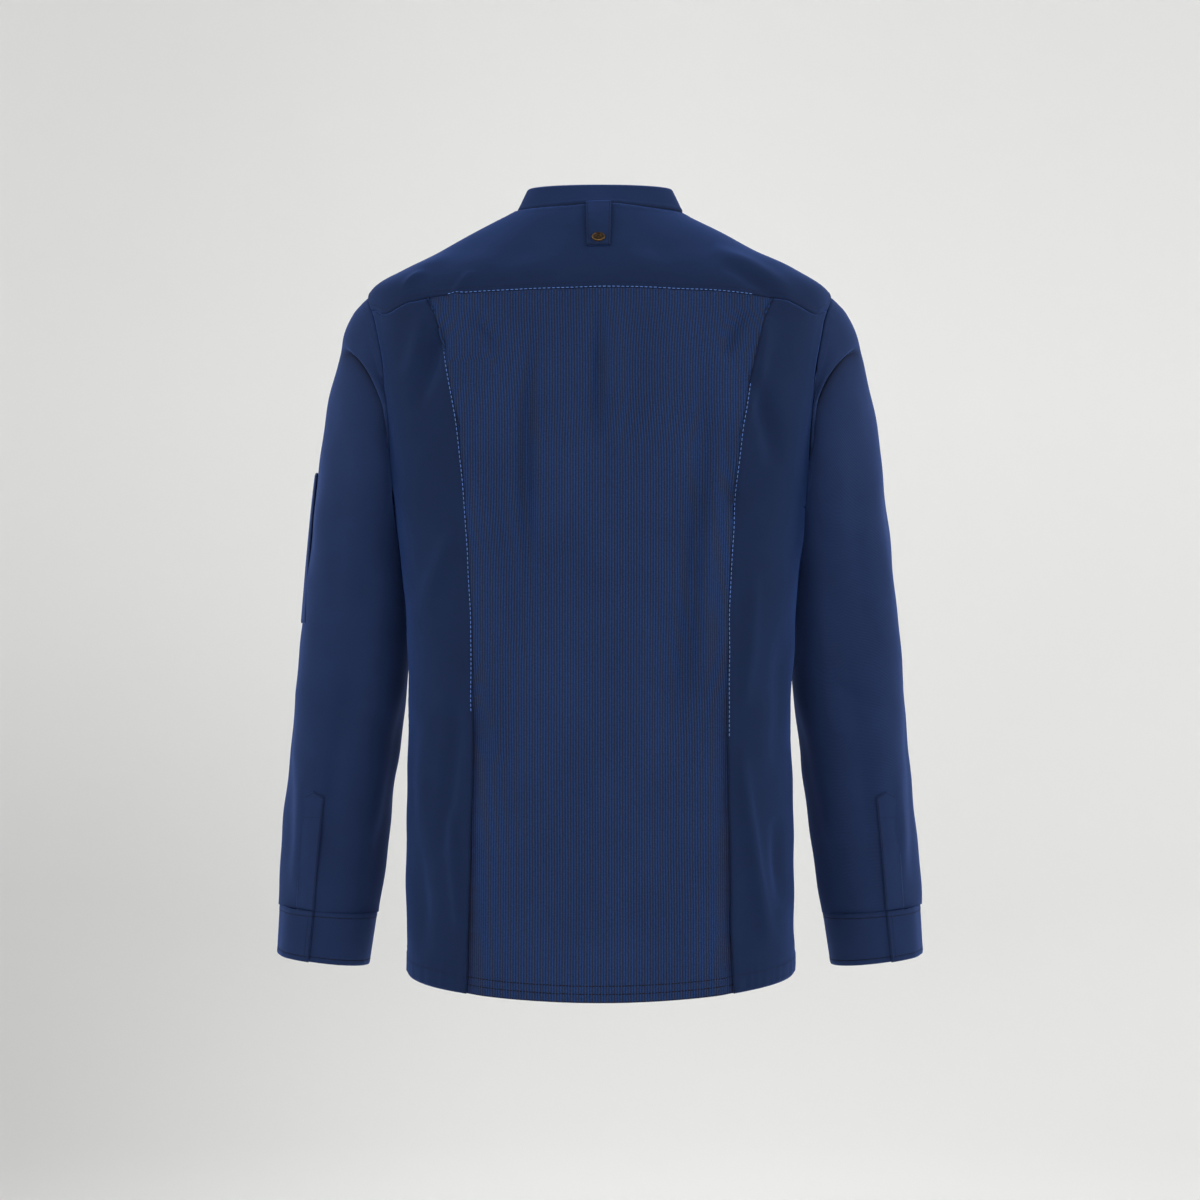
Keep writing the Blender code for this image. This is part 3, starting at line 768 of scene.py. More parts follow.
        # Painted shade, by which the material darkens the colour.
        shade = self.shade if self.shade is not None else np.zeros((rows, columns))
        mesh.attributes.new("painted_shade", "FLOAT", "POINT").data.foreach_set(
            "value", shade.astype(np.float32).ravel()
        )
        mesh.update(calc_edges=True)
        mesh.shade_smooth()
        mesh.materials.append(finish)
        made = new_object(self.name, mesh)
        wall = made.modifiers.new("wall", "SOLIDIFY")
        wall.thickness, wall.offset, wall.use_even_offset = self.thickness, -1, False
        return made


def place_cloth(
    cloth: Cloth,
    finish: bpy.types.Material,
    nodes: tuple[str, ...],
) -> None:
    """Builds a piece of cloth in its solid's place, and hides the solids that it stands for.

    Args:
        cloth: the piece.
        finish: its material.
        nodes: the solids that it stands for.
    """
    made = cloth.build(finish)
    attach(made, "root")
    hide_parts(*nodes)


def mirrored(points: Array) -> Array:
    """The same grid on the wearer's other side, its columns kept facing out."""
    return points[:, ::-1] * np.array([-1.0, 1, 1])


# ---------------------------------------------------------------- stitches


@dataclass
class Stitches:
    """Rows of lockstitches in one thread, each stitch a low four-sided spindle.

    A stitch has 12 faces, because there are thousands. Its thread is drawn wider than the
    real 0.25 mm so that it shows. Its widest rings stand at two shares of its length.
    """

    name: str
    pitch: float = 2.9 * MM
    length: float = 2.2 * MM
    width: float = 0.6 * MM
    height: float = 0.2 * MM
    sunk: float = 0.1 * MM
    shoulders: tuple[float, float] = (0.22, 0.78)
    points: list = field(default_factory=list)
    faces: list = field(default_factory=list)

    def sew(self, line: Array, normals: Array) -> None:
        """Adds a row of stitches along a line, evenly spaced by arc length.

        Each stitch's rings stand across the line: half its width to each side, and from
        just inside the cloth to its height.

        Args:
            line: points on the cloth.
            normals: the cloth's, at those points.
        """
        steps = np.linalg.norm(np.diff(line, axis=0), axis=1)
        reached = np.concatenate([[0], np.cumsum(steps)])
        count = max(1, int(reached[-1] / self.pitch))
        middle = (np.arange(count) + 0.5) * reached[-1] / count
        start = read_along(middle - self.length / 2, reached, line)
        end = read_along(middle + self.length / 2, reached, line)
        up = unit(read_along(middle, reached, normals))
        ahead = end - start
        side = unit(np.cross(ahead, up))
        rings = [start[:, None]]
        for share in self.shoulders:
            centre = start + ahead * share
            low, high = centre - up * self.sunk, centre + up * self.height
            ring = (centre + side * self.width / 2, high, centre - side * self.width / 2, low)
            rings.append(np.stack(ring, axis=1))
        rings.append(end[:, None])
        stitch = np.concatenate(rings, axis=1)
        faces = []
        for k in range(4):
            n = (k + 1) % 4
            faces += [(0, 1 + k, 1 + n), (1 + k, 5 + k, 5 + n, 1 + n), (9, 5 + n, 5 + k)]
        base = sum(len(p) for p in self.points)
        self.points.append(stitch.reshape(-1, 3))
        for number in range(count):
            first = base + 10 * number
            self.faces.extend(tuple(first + v for v in face) for face in faces)

    def build(self, finish: bpy.types.Material) -> None:
        """Makes one object of all its rows.

        Args:
            finish: the thread's material.
        """
        mesh = bpy.data.meshes.new(self.name)
        mesh.from_pydata(np.concatenate(self.points).tolist(), [], self.faces)
        mesh.materials.append(finish)
        made = new_object(self.name, mesh)
        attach(made, "root")
        LOG.info("%s: %d stitches", self.name, len(self.faces) // 12)


# ---------------------------------------------------------------- finishes


def add_node(
    tree: bpy.types.NodeTree, kind: str, inputs: dict | None = None, **settings: object
) -> bpy.types.Node:
    """Adds a shader node with its settings, its numbers and its links.

    Args:
        tree: the material's nodes.
        kind: the node's type without its ShaderNode prefix.
        inputs: numbers, colours or output sockets, by the name or number of the input.
        settings: the node's own properties.

    Returns:
        The node.
    """
    node = tree.nodes.new("ShaderNode" + kind)
    for name, value in settings.items():
        setattr(node, name, value)
    for name, value in (inputs or {}).items():
        if isinstance(value, bpy.types.NodeSocket):
            tree.links.new(value, node.inputs[name])
        else:
            node.inputs[name].default_value = value
    return node


def new_material(
    name: str, constants: dict[str, object]
) -> tuple[bpy.types.Material, bpy.types.NodeTree, bpy.types.Node]:
    """A material with its nodes and its Principled shader.

    Args:
        name: the finish's plain name.
        constants: values of the shader's inputs that nothing is linked to.

    Returns:
        The material, its nodes and its shader.
    """
    made = bpy.data.materials.new(name)
    made.use_nodes = True
    shader = made.node_tree.nodes["Principled BSDF"]
    for socket, value in constants.items():
        shader.inputs[socket].default_value = value
    return made, made.node_tree, shader


def nap_constants(roughness: float, specular: float, sheen: float, nap: str) -> dict[str, object]:
    """The shader's constants of a cloth whose nap of loose fibres catches light."""
    return {
        "Roughness": roughness, "Specular IOR Level": specular, "Sheen Weight": sheen,
        "Sheen Roughness": 0.45, "Sheen Tint": hex_colour(nap),
    }


def paint_seam_and_fold_shade(
    tree: bpy.types.NodeTree, colour: bpy.types.NodeSocket, seam: str
) -> bpy.types.NodeSocket:
    """Mixes a cloth's colour towards a dark colour by the point attribute painted_shade: painted
    shade in its seams, under its folds and beside its sunk seams.

    Args:
        tree: the material's nodes.
        colour: the cloth's colour.
        seam: the dark colour of the painted shade in its seams, under its folds and beside its sunk
            seams.

    Returns:
        The mixed colour.
    """
    # Painted shade: the share of the dark colour at each point.
    sewn = add_node(tree, "Attribute", attribute_name="painted_shade").outputs["Fac"]
    mixed = add_node(tree, "Mix", {0: sewn, 6: colour, 7: hex_colour(seam)}, data_type="RGBA")
    return mixed.outputs[2]


@dataclass(frozen=True)
class TwillFinish:
    """Polyester and cotton workwear twill, piece dyed and pressed: matt, with a fine
    diagonal wale, a little loose fibre on its surface and a faint sheen at its edges."""

    name: str = "polycotton_twill"
    colour: str = "#0c1b36"
    fibre: str = "#122245"
    # seam: the dark colour of the painted shade in seams and under folds
    seam: str = "#060b18"
    roughness: float = 0.85
    sheen: float = 0.55
    nap: str = "#4669b8"
    specular: float = 0.12
    wale_mm: float = 1.3    # the real wale is about 0.6 mm, too fine to show
    wale_turn: float = math.radians(28)

    def make(self) -> bpy.types.Material:
        """The material: wale lines across the pattern, mottling and fibres.

        A wave node's bands are 0.314 units apart at a scale of 1, hence the wales' scale.
        """
        constants = nap_constants(self.roughness, self.specular, self.sheen, self.nap)
        made, tree, shader = new_material(self.name, constants)
        uv = add_node(tree, "UVMap", uv_map="cloth_mm").outputs[0]
        place = add_node(tree, "TexCoord").outputs["Object"]
        turned = add_node(tree, "Mapping", {0: uv, "Rotation": (0, 0, self.wale_turn)})
        wale = add_node(
            tree, "TexWave",
            {0: turned.outputs[0], "Scale": 0.314 / self.wale_mm, "Distortion": 0.5,
             "Detail": 1.0, "Detail Scale": 0.8},
            wave_type="BANDS", bands_direction="X",
        ).outputs["Fac"]
        fibres = add_node(
            tree, "TexNoise", {0: uv, "Scale": 1.3, "Detail": 3.0, "Roughness": 0.7}
        ).outputs["Fac"]
        mottle = add_node(
            tree, "TexNoise", {0: place, "Scale": 26.0, "Detail": 3.0, "Roughness": 0.55}
        ).outputs["Fac"]
        fibre_share = add_node(
            tree, "MapRange", {0: fibres, 1: 0.42, 2: 0.78, 3: 0.0, 4: 0.45}
        ).outputs[0]
        base = add_node(
            tree, "Mix", {0: fibre_share, 6: hex_colour(self.colour), 7: hex_colour(self.fibre)},
            data_type="RGBA",
        ).outputs[2]
        shade = add_node(tree, "MapRange", {0: mottle, 1: 0.3, 2: 0.7, 3: 0.93, 4: 1.07}).outputs[0]
        lines = add_node(tree, "MapRange", {0: wale, 1: 0.0, 2: 1.0, 3: 0.92, 4: 1.06}).outputs[0]
        both = add_node(tree, "Math", {0: shade, 1: lines}, operation="MULTIPLY").outputs[0]
        toned = add_node(tree, "VectorMath", {0: base, "Scale": both}, operation="SCALE").outputs[0]
        # Painted shade darkens the colour in seams and under folds, by the point attribute
        # painted_shade.
        tree.links.new(paint_seam_and_fold_shade(tree, toned, self.seam), shader.inputs["Base Color"])
        height = add_node(tree, "Math", {0: wale, 1: fibres}, operation="ADD").outputs[0]
        relief = add_node(
            tree, "Bump", {"Height": height, "Strength": 0.35, "Distance": 0.00012}
        ).outputs[0]
        tree.links.new(relief, shader.inputs["Normal"])
        return made


@dataclass(frozen=True)
class KnitFinish:
    """Two-colour polyester rib knit that lets air through: matt blue ribs with browner
    grooves between them, which run with the straight grain."""

    name: str = "striped_airflow_knit"
    rib: str = "#17305a"
    groove: str = "#1c1f2e"
    # seam: purple-brown dark colour of the painted shadow beside the sunk seams and the painted shade
    # in the seams
    seam: str = "#170d12"
    pitch_mm: float = 2.5   # the real stripes are about 2 mm apart, too fine to show
    course_mm: float = 1.5  # the real courses are about 0.7 mm apart, too fine to show
    roughness: float = 0.9
    sheen: float = 0.10
    nap: str = "#4c6bb8"
    specular: float = 0.1

    def make(self) -> bpy.types.Material:
        """The material: sine ribs across the pattern, and courses of loops down it."""
        constants = nap_constants(self.roughness, self.specular, self.sheen, self.nap)
        made, tree, shader = new_material(self.name, constants)
        uv = add_node(tree, "UVMap", uv_map="cloth_mm").outputs[0]
        place = add_node(tree, "TexCoord").outputs["Object"]
        axes = add_node(tree, "SeparateXYZ", {0: uv}).outputs
        turn = add_node(
            tree, "Math", {0: axes[0], 1: 2 * math.pi / self.pitch_mm}, operation="MULTIPLY"
        ).outputs[0]
        wave = add_node(tree, "Math", {0: turn}, operation="SINE").outputs[0]
        rib = add_node(tree, "MapRange", {0: wave, 1: -0.8, 2: 0.8, 3: 0.0, 4: 1.0}).outputs[0]
        down = add_node(
            tree, "Math", {0: axes[1], 1: 2 * math.pi / self.course_mm}, operation="MULTIPLY"
        ).outputs[0]
        course = add_node(tree, "Math", {0: down}, operation="SINE").outputs[0]
        loops = add_node(tree, "MapRange", {0: course, 1: -1.0, 2: 1.0, 3: 0.96, 4: 1.03}).outputs[0]
        yarn = add_node(
            tree, "TexNoise", {0: uv, "Scale": 0.55, "Detail": 3.0, "Roughness": 0.75}
        ).outputs["Fac"]
        uneven = add_node(tree, "MapRange", {0: yarn, 1: 0.3, 2: 0.7, 3: 0.72, 4: 1.28}).outputs[0]
        mottle = add_node(
            tree, "TexNoise", {0: place, "Scale": 15.0, "Detail": 2.0}
        ).outputs["Fac"]
        shade = add_node(tree, "MapRange", {0: mottle, 1: 0.3, 2: 0.7, 3: 0.93, 4: 1.07}).outputs[0]
        colour = add_node(
            tree, "Mix", {0: rib, 6: hex_colour(self.groove), 7: hex_colour(self.rib)},
            data_type="RGBA",
        ).outputs[2]
        tone = add_node(tree, "Math", {0: loops, 1: uneven}, operation="MULTIPLY").outputs[0]
        tone = add_node(tree, "Math", {0: tone, 1: shade}, operation="MULTIPLY").outputs[0]
        toned = add_node(
            tree, "VectorMath", {0: colour, "Scale": tone}, operation="SCALE"
        ).outputs[0]
        # Painted shade and shadow darken the colour by the point attribute painted_shade.
        tree.links.new(paint_seam_and_fold_shade(tree, toned, self.seam), shader.inputs["Base Color"])
        loop_height = add_node(
            tree, "Math", {0: course, 1: 0.15, 2: rib}, operation="MULTIPLY_ADD"
        ).outputs[0]
        relief = add_node(
            tree, "Bump", {"Height": loop_height, "Strength": 0.5, "Distance": 0.00035}
        ).outputs[0]
        tree.links.new(relief, shader.inputs["Normal"])
        return made


@dataclass(frozen=True)
class ThreadFinish:
    """Spun polyester sewing thread, twisted: nearly matt, with painted shade between its plies."""

    name: str
    colour: str
    roughness: float = 0.75
    specular: float = 0.15

    def make(self) -> bpy.types.Material:
        """The material: painted shade between fine plies, from a wave across the thread."""
        made, tree, shader = new_material(
            self.name, {"Roughness": self.roughness, "Specular IOR Level": self.specular}
        )
        place = add_node(tree, "TexCoord").outputs["Object"]
        plies = add_node(
            tree, "TexWave", {0: place, "Scale": 600.0, "Distortion": 1.0},
            wave_type="BANDS", bands_direction="DIAGONAL",
        ).outputs["Fac"]
        tone = add_node(tree, "MapRange", {0: plies, 1: 0.0, 2: 1.0, 3: 0.8, 4: 1.1}).outputs[0]
        toned = add_node(
            tree, "VectorMath", {0: hex_colour(self.colour)[:3], "Scale": tone},
            operation="SCALE",
        ).outputs[0]
        tree.links.new(toned, shader.inputs["Base Color"])
        return made


@dataclass(frozen=True)
class BrassFinish:
    """Antique brass, stamped, oxidised brown and rubbed brighter on what stands up."""

    name: str = "antique_brass"
    dark: str = "#261c15"
    rubbed: str = "#84663f"
    roughness: tuple[float, float] = (0.34, 0.56)
    metallic: float = 0.85

    def make(self) -> bpy.types.Material:
        """The material: brighter where the form is convex and the tarnish is thin."""
        made, tree, shader = new_material(self.name, {"Metallic": self.metallic})
        place = add_node(tree, "TexCoord").outputs["Object"]
        tarnish = add_node(
            tree, "TexNoise", {0: place, "Scale": 420.0, "Detail": 4.0}
        ).outputs["Fac"]
        standing = add_node(tree, "NewGeometry").outputs["Pointiness"]
        edge = add_node(tree, "MapRange", {0: standing, 1: 0.51, 2: 0.6, 3: 0.0, 4: 0.8}).outputs[0]
        thin = add_node(tree, "MapRange", {0: tarnish, 1: 0.35, 2: 0.7, 3: 0.0, 4: 0.35}).outputs[0]
        share = add_node(
            tree, "Math", {0: edge, 1: thin}, operation="ADD", use_clamp=True
        ).outputs[0]
        colour = add_node(
            tree, "Mix", {0: share, 6: hex_colour(self.dark), 7: hex_colour(self.rubbed)},
            data_type="RGBA",
        ).outputs[2]
        tree.links.new(colour, shader.inputs["Base Color"])
        low, high = self.roughness
        rough = add_node(tree, "MapRange", {0: tarnish, 1: 0.3, 2: 0.7, 3: low, 4: high}).outputs[0]
        tree.links.new(rough, shader.inputs["Roughness"])
        return made


@dataclass(frozen=True)
class PaperFinish:
    """Pale matt studio paper, on the floor and the wall behind, with a painted glow."""

    name: str = "matt_studio_paper"
    colour: str = "#e9e9e8"
    shade_place: tuple[float, float, float] = (1.6, 0.0, -1.6)
    # painted_glow: the paper's emission, painted light
    painted_glow: float = 0.24

    def make(self) -> bpy.types.Material:
        """The material: nearly plain, with painted shade to one side and in its low corner, and
        glowing with its own colour as painted light.
        """
        made, tree, shader = new_material(
            self.name,
            {"Roughness": 0.95, "Specular IOR Level": 0.1, "Emission Strength": self.painted_glow},
        )
        place = add_node(tree, "TexCoord").outputs["Object"]
        soft = add_node(tree, "TexNoise", {0: place, "Scale": 0.5, "Detail": 1.0}).outputs["Fac"]
        tone = add_node(tree, "MapRange", {0: soft, 1: 0.3, 2: 0.7, 3: 0.98, 4: 1.02}).outputs[0]
        across = add_node(tree, "SeparateXYZ", {0: place}).outputs[0]
        side = add_node(
            tree, "MapRange", {0: across, 1: -0.4, 2: 1.6, 3: 1.0, 4: 0.88},
            interpolation_type="SMOOTHSTEP",
        ).outputs[0]
        flat = add_node(tree, "VectorMath", {0: place, 1: (1.0, 0.0, 1.0)}, operation="MULTIPLY")
        away = add_node(
            tree, "VectorMath", {0: flat.outputs[0], 1: self.shade_place}, operation="DISTANCE"
        ).outputs["Value"]
        corner = add_node(
            tree, "MapRange", {0: away, 1: 0.0, 2: 1.5, 3: 0.80, 4: 1.0},
            interpolation_type="SMOOTHSTEP",
        ).outputs[0]
        tone = add_node(tree, "Math", {0: tone, 1: side}, operation="MULTIPLY").outputs[0]
        tone = add_node(tree, "Math", {0: tone, 1: corner}, operation="MULTIPLY").outputs[0]
        toned = add_node(
            tree, "VectorMath", {0: hex_colour(self.colour)[:3], "Scale": tone},
            operation="SCALE",
        ).outputs[0]
        tree.links.new(toned, shader.inputs["Base Color"])
        tree.links.new(toned, shader.inputs["Emission Color"])
        return made


# ---------------------------------------------------------------- the relief of the cloth


@dataclass(frozen=True)
class Drape:
    """The creases that hang in the cloth, in tables of Crease for each side.

    Those at the back follow what shows there, and the hidden sides have similar ones.
    """

    back: tuple = (
        # centre panel: long soft valleys and the ridges between them
        (56, -108, 59, -392, -9, 7, -7.8, 0.0),
        (38, -140, 34, -330, 2, 17, 6.6, 0.0),
        (1, -90, 3, -230, 1, 6, -6.0, 0.2),
        (-12, -100, -14, -260, 2, 9, 4.0, 0.0),
        (-92, -132, -66, -500, 9, 9, -6.6, 0.2),
        (-104, -250, -92, -460, -4, 9, 6.6, 0.0),
        (124, -104, 92, -150, 3, 7, -4.8, 0.3),
        (116, -120, 84, -172, 3, 5, 4.8, 0.0),
        (-134, -104, -112, -150, -3, 7, -6.6, 0.0),
        (96, -270, 72, -430, 5, 11, -7.2, 0.0),
        (104, -430, 92, -520, 3, 8, 6.0, 0.0),
        (70, -420, 64, -610, 3, 14, 4.2, 0.0),
        (-36, -380, -30, -640, 3, 15, 4.0, 0.0),
        (-116, -215, -119, -300, 0, 8, -2.8, 0.0),
        (20, -520, 14, -720, 3, 16, -3.6, 0.0),
        (-60, -560, -66, -724, 2, 13, -3.0, 0.0),
        (60, -330, -60, -352, -6, 9, -1.8, 0.0),
        # side back panels, from the armhole down
        (141, -106, 170, -196, 3, 8, -4.8, 0.2),
        (160, -104, 178, -170, 2, 8, 3.6, 0.0),
        (166, -386, 128, -300, 3, 9, 3.6, 0.0),
        (131, -452, 150, -612, 3, 8, -4.4, 0.0),
        (140, -560, 128, -690, 2, 6, 3.2, 0.0),
        (160, -470, 166, -640, -3, 8, 3.2, 0.0),
        (172, -540, 164, -700, 2, 7, -3.2, 0.0),
        (-136, -160, -160, -250, 3, 9, -5.2, 0.0),
        (-152, -110, -134, -210, 2, 7, 3.6, 0.0),
        (-140, -340, -130, -470, 3, 7, 3.2, 0.0),
        (-128, -500, -158, -690, -4, 7, 5.6, 0.2),
        (-163, -570, -170, -660, 0, 7, -4.8, 0.0),
        (-168, -400, -160, -540, 4, 9, -3.2, 0.0),
        # yoke: pulls towards the shoulders
        (-102, -44, -180, -94, 3, 8, 3.8, 0.2),
        (-110, -62, -168, -100, 3, 6, -2.6, 0.0),
        (137, -100, 116, -68, 1, 4, 3.0, 0.3),
        (180, -84, 162, -66, 1, 4, 3.4, 0.3),
        (150, -96, 176, -92, 0, 5, -2.4, 0.0),
        (172, -60, 140, -44, -2, 8, 2.0, 0.0),
        (60, -40, 100, -62, 3, 12, -1.8, 0.0),
        (-30, -36, -66, -60, 3, 12, -1.6, 0.0),
        # sleeves: long soft hollows and a few short pulls at the elbow
        (240, -200, 262, -420, 6, 14, -3.6, 0.0),
        (262, -180, 284, -360, 5, 10, 3.2, 0.0),
        (205, -300, 226, -520, 4, 12, 3.0, 0.0),
        (232, -430, 262, -640, -5, 12, -3.2, 0.0),
        (206, -452, 268, -474, 5, 8, -2.0, 0.0),
        (212, -500, 262, -512, 4, 9, 1.8, 0.0),
        (288, -540, 296, -650, 2, 6, 2.6, 0.0),
        (-236, -196, -258, -430, -6, 14, -3.6, 0.0),
        (-262, -190, -286, -400, -5, 10, 3.2, 0.0),
        (-208, -310, -224, -500, -4, 12, 3.0, 0.0),
        (-236, -450, -258, -640, 5, 12, -3.2, 0.0),
        (-208, -440, -266, -466, -5, 8, -2.0, 0.0),
        (-214, -486, -258, -500, -4, 9, 1.8, 0.0),
        (-286, -530, -296, -640, -2, 6, 2.6, 0.0),
    )
    front: tuple = (
        (150, -92, 92, -190, 8, 12, -3.6, 0.2),
        (168, -120, 120, -240, 8, 13, 2.8, 0.0),
        (120, -200, 108, -470, 6, 14, -3.2, 0.0),
        (84, -260, 76, -520, -5, 15, 3.2, 0.0),
        (146, -330, 130, -640, 6, 12, -3.2, 0.1),
        (60, -420, 54, -690, 4, 14, -2.4, 0.0),
        (108, -520, 112, -720, -3, 12, 2.6, 0.0),
        (-150, -96, -88, -200, -8, 12, -3.6, -0.2),
        (-170, -130, -124, -236, -8, 12, 2.6, 0.0),
        (-116, -220, -104, -500, -6, 14, -3.2, 0.0),
        (-80, -300, -74, -560, 5, 15, 3.0, 0.0),
        (-142, -360, -128, -660, -6, 12, -3.0, -0.1),
        (-58, -460, -50, -700, -4, 13, -2.4, 0.0),
        (-104, -500, -110, -724, 3, 12, 2.4, 0.0),
    )
    left: tuple = (
        (-40, -460, -30, -700, 5, 12, -2.4, 0.0),
        (30, -480, 36, -690, -4, 12, 2.0, 0.0),
        (-70, -520, -64, -720, -3, 11, 2.2, 0.0),
    )
    right: tuple = (
        (-34, -450, -42, -690, 5, 12, -2.4, 0.0),
        (34, -500, 28, -700, 4, 12, 2.0, 0.0),
        (-72, -540, -66, -716, 3, 11, 2.0, 0.0),
    )
    uneven: float = 0.32 * MM
    uneven_seed: int = 5
    waves: int = 10
    wave_mm: tuple[float, float] = (55, 160)
    wave_lean: tuple[float, float, float] = (1.4, 1.4, 0.7)

    def unevenness(self, points: Array) -> Array:
        """Soft unevenness of worn cloth: sine waves of random lengths and directions.

        Args:
            points: of the cloth.

        Returns:
            Distances in metres, outwards.
        """
        rng = np.random.default_rng(self.uneven_seed)
        total = np.zeros(points.shape[:-1])
        for _ in range(self.waves):
            direction = unit(rng.normal(size=3) * self.wave_lean)
            wave = rng.uniform(*self.wave_mm) * MM
            phase = rng.uniform(0, 2 * math.pi)
            total += np.sin(points @ direction * 2 * math.pi / wave + phase)
        return total * self.uneven

    def lay(self, points: Array, tube: bool = False) -> Array:
        """The points pushed along the normals by every crease and the unevenness.

        Args:
            points: rows by columns of points.
            tube: whether the last column joins the first.

        Returns:
            The moved points.
        """
        normals = surface_normals(points, tube)
        push = self.unevenness(points)
        tables = {
            Seen.BACK: self.back, Seen.FRONT: self.front,
            Seen.LEFT: self.left, Seen.RIGHT: self.right,
        }
        for seen, table in tables.items():
            push = push + crease_push(points, normals, seen, table)
        return points + normals * push[..., None]


# ---------------------------------------------------------------- back


FELLED = SeamFinish(pucker=0.2, pucker_period=13)
YOKE_EDGE = SeamFinish(rows=(1.5,), ridge=0.25, pucker=0.26, pucker_period=15)
PLAIN_SEAM = SeamFinish(rows=(), ridge=0.2, ridge_width=9, pucker=0.24, dark=0.08)
HEM_DOUBLE = SeamFinish(
    roll_depth=0.6, rows=(8.1, 15.4), ridge=0.35, ridge_width=16.0, groove=0.3,
    pucker=0.22, pucker_period=9, pucker_reach=20,
)
HEM_SINGLE = SeamFinish(
    roll_depth=0.6, rows=(16.2,), ridge=0.5, ridge_width=17.0,
    pucker=0.5, pucker_period=10, pucker_reach=18,
)
CUFF_BAND = SeamFinish(
    roll_depth=0.3, rows=(5.2,), ridge=0.12, ridge_width=6.5, pucker=0.2, dark=0.1,
)
FOLDED = SeamFinish(rows=(1.8,), ridge=0.1, ridge_width=4, pucker=0.08, inset=0.0)


@dataclass
class BodyPanels:
    """What lies on the body's form: the form, its creases and its cloth."""

    form: BodyForm
    drape: Drape
    twill: bpy.types.Material

    def lay_panel(self, ring: Array, angle: Array, push: Array | float, flip: bool) -> Array:
        """Points of a panel on the body's form, with its folds and creases.

        Args:
            ring: ring numbers of the grid.
            angle: angles of the grid.
            push: extra distance outwards, in metres.
            flip: whether it is for the wearer's right.

        Returns:
            Rows by columns of points.
        """
        push = np.asarray(push) + self.form.fold_push(ring, -angle if flip else angle)
        points = self.form.plain(ring, angle) + self.form.normal(ring, angle) * push[..., None]
        return self.drape.lay(mirrored(points) if flip else points)


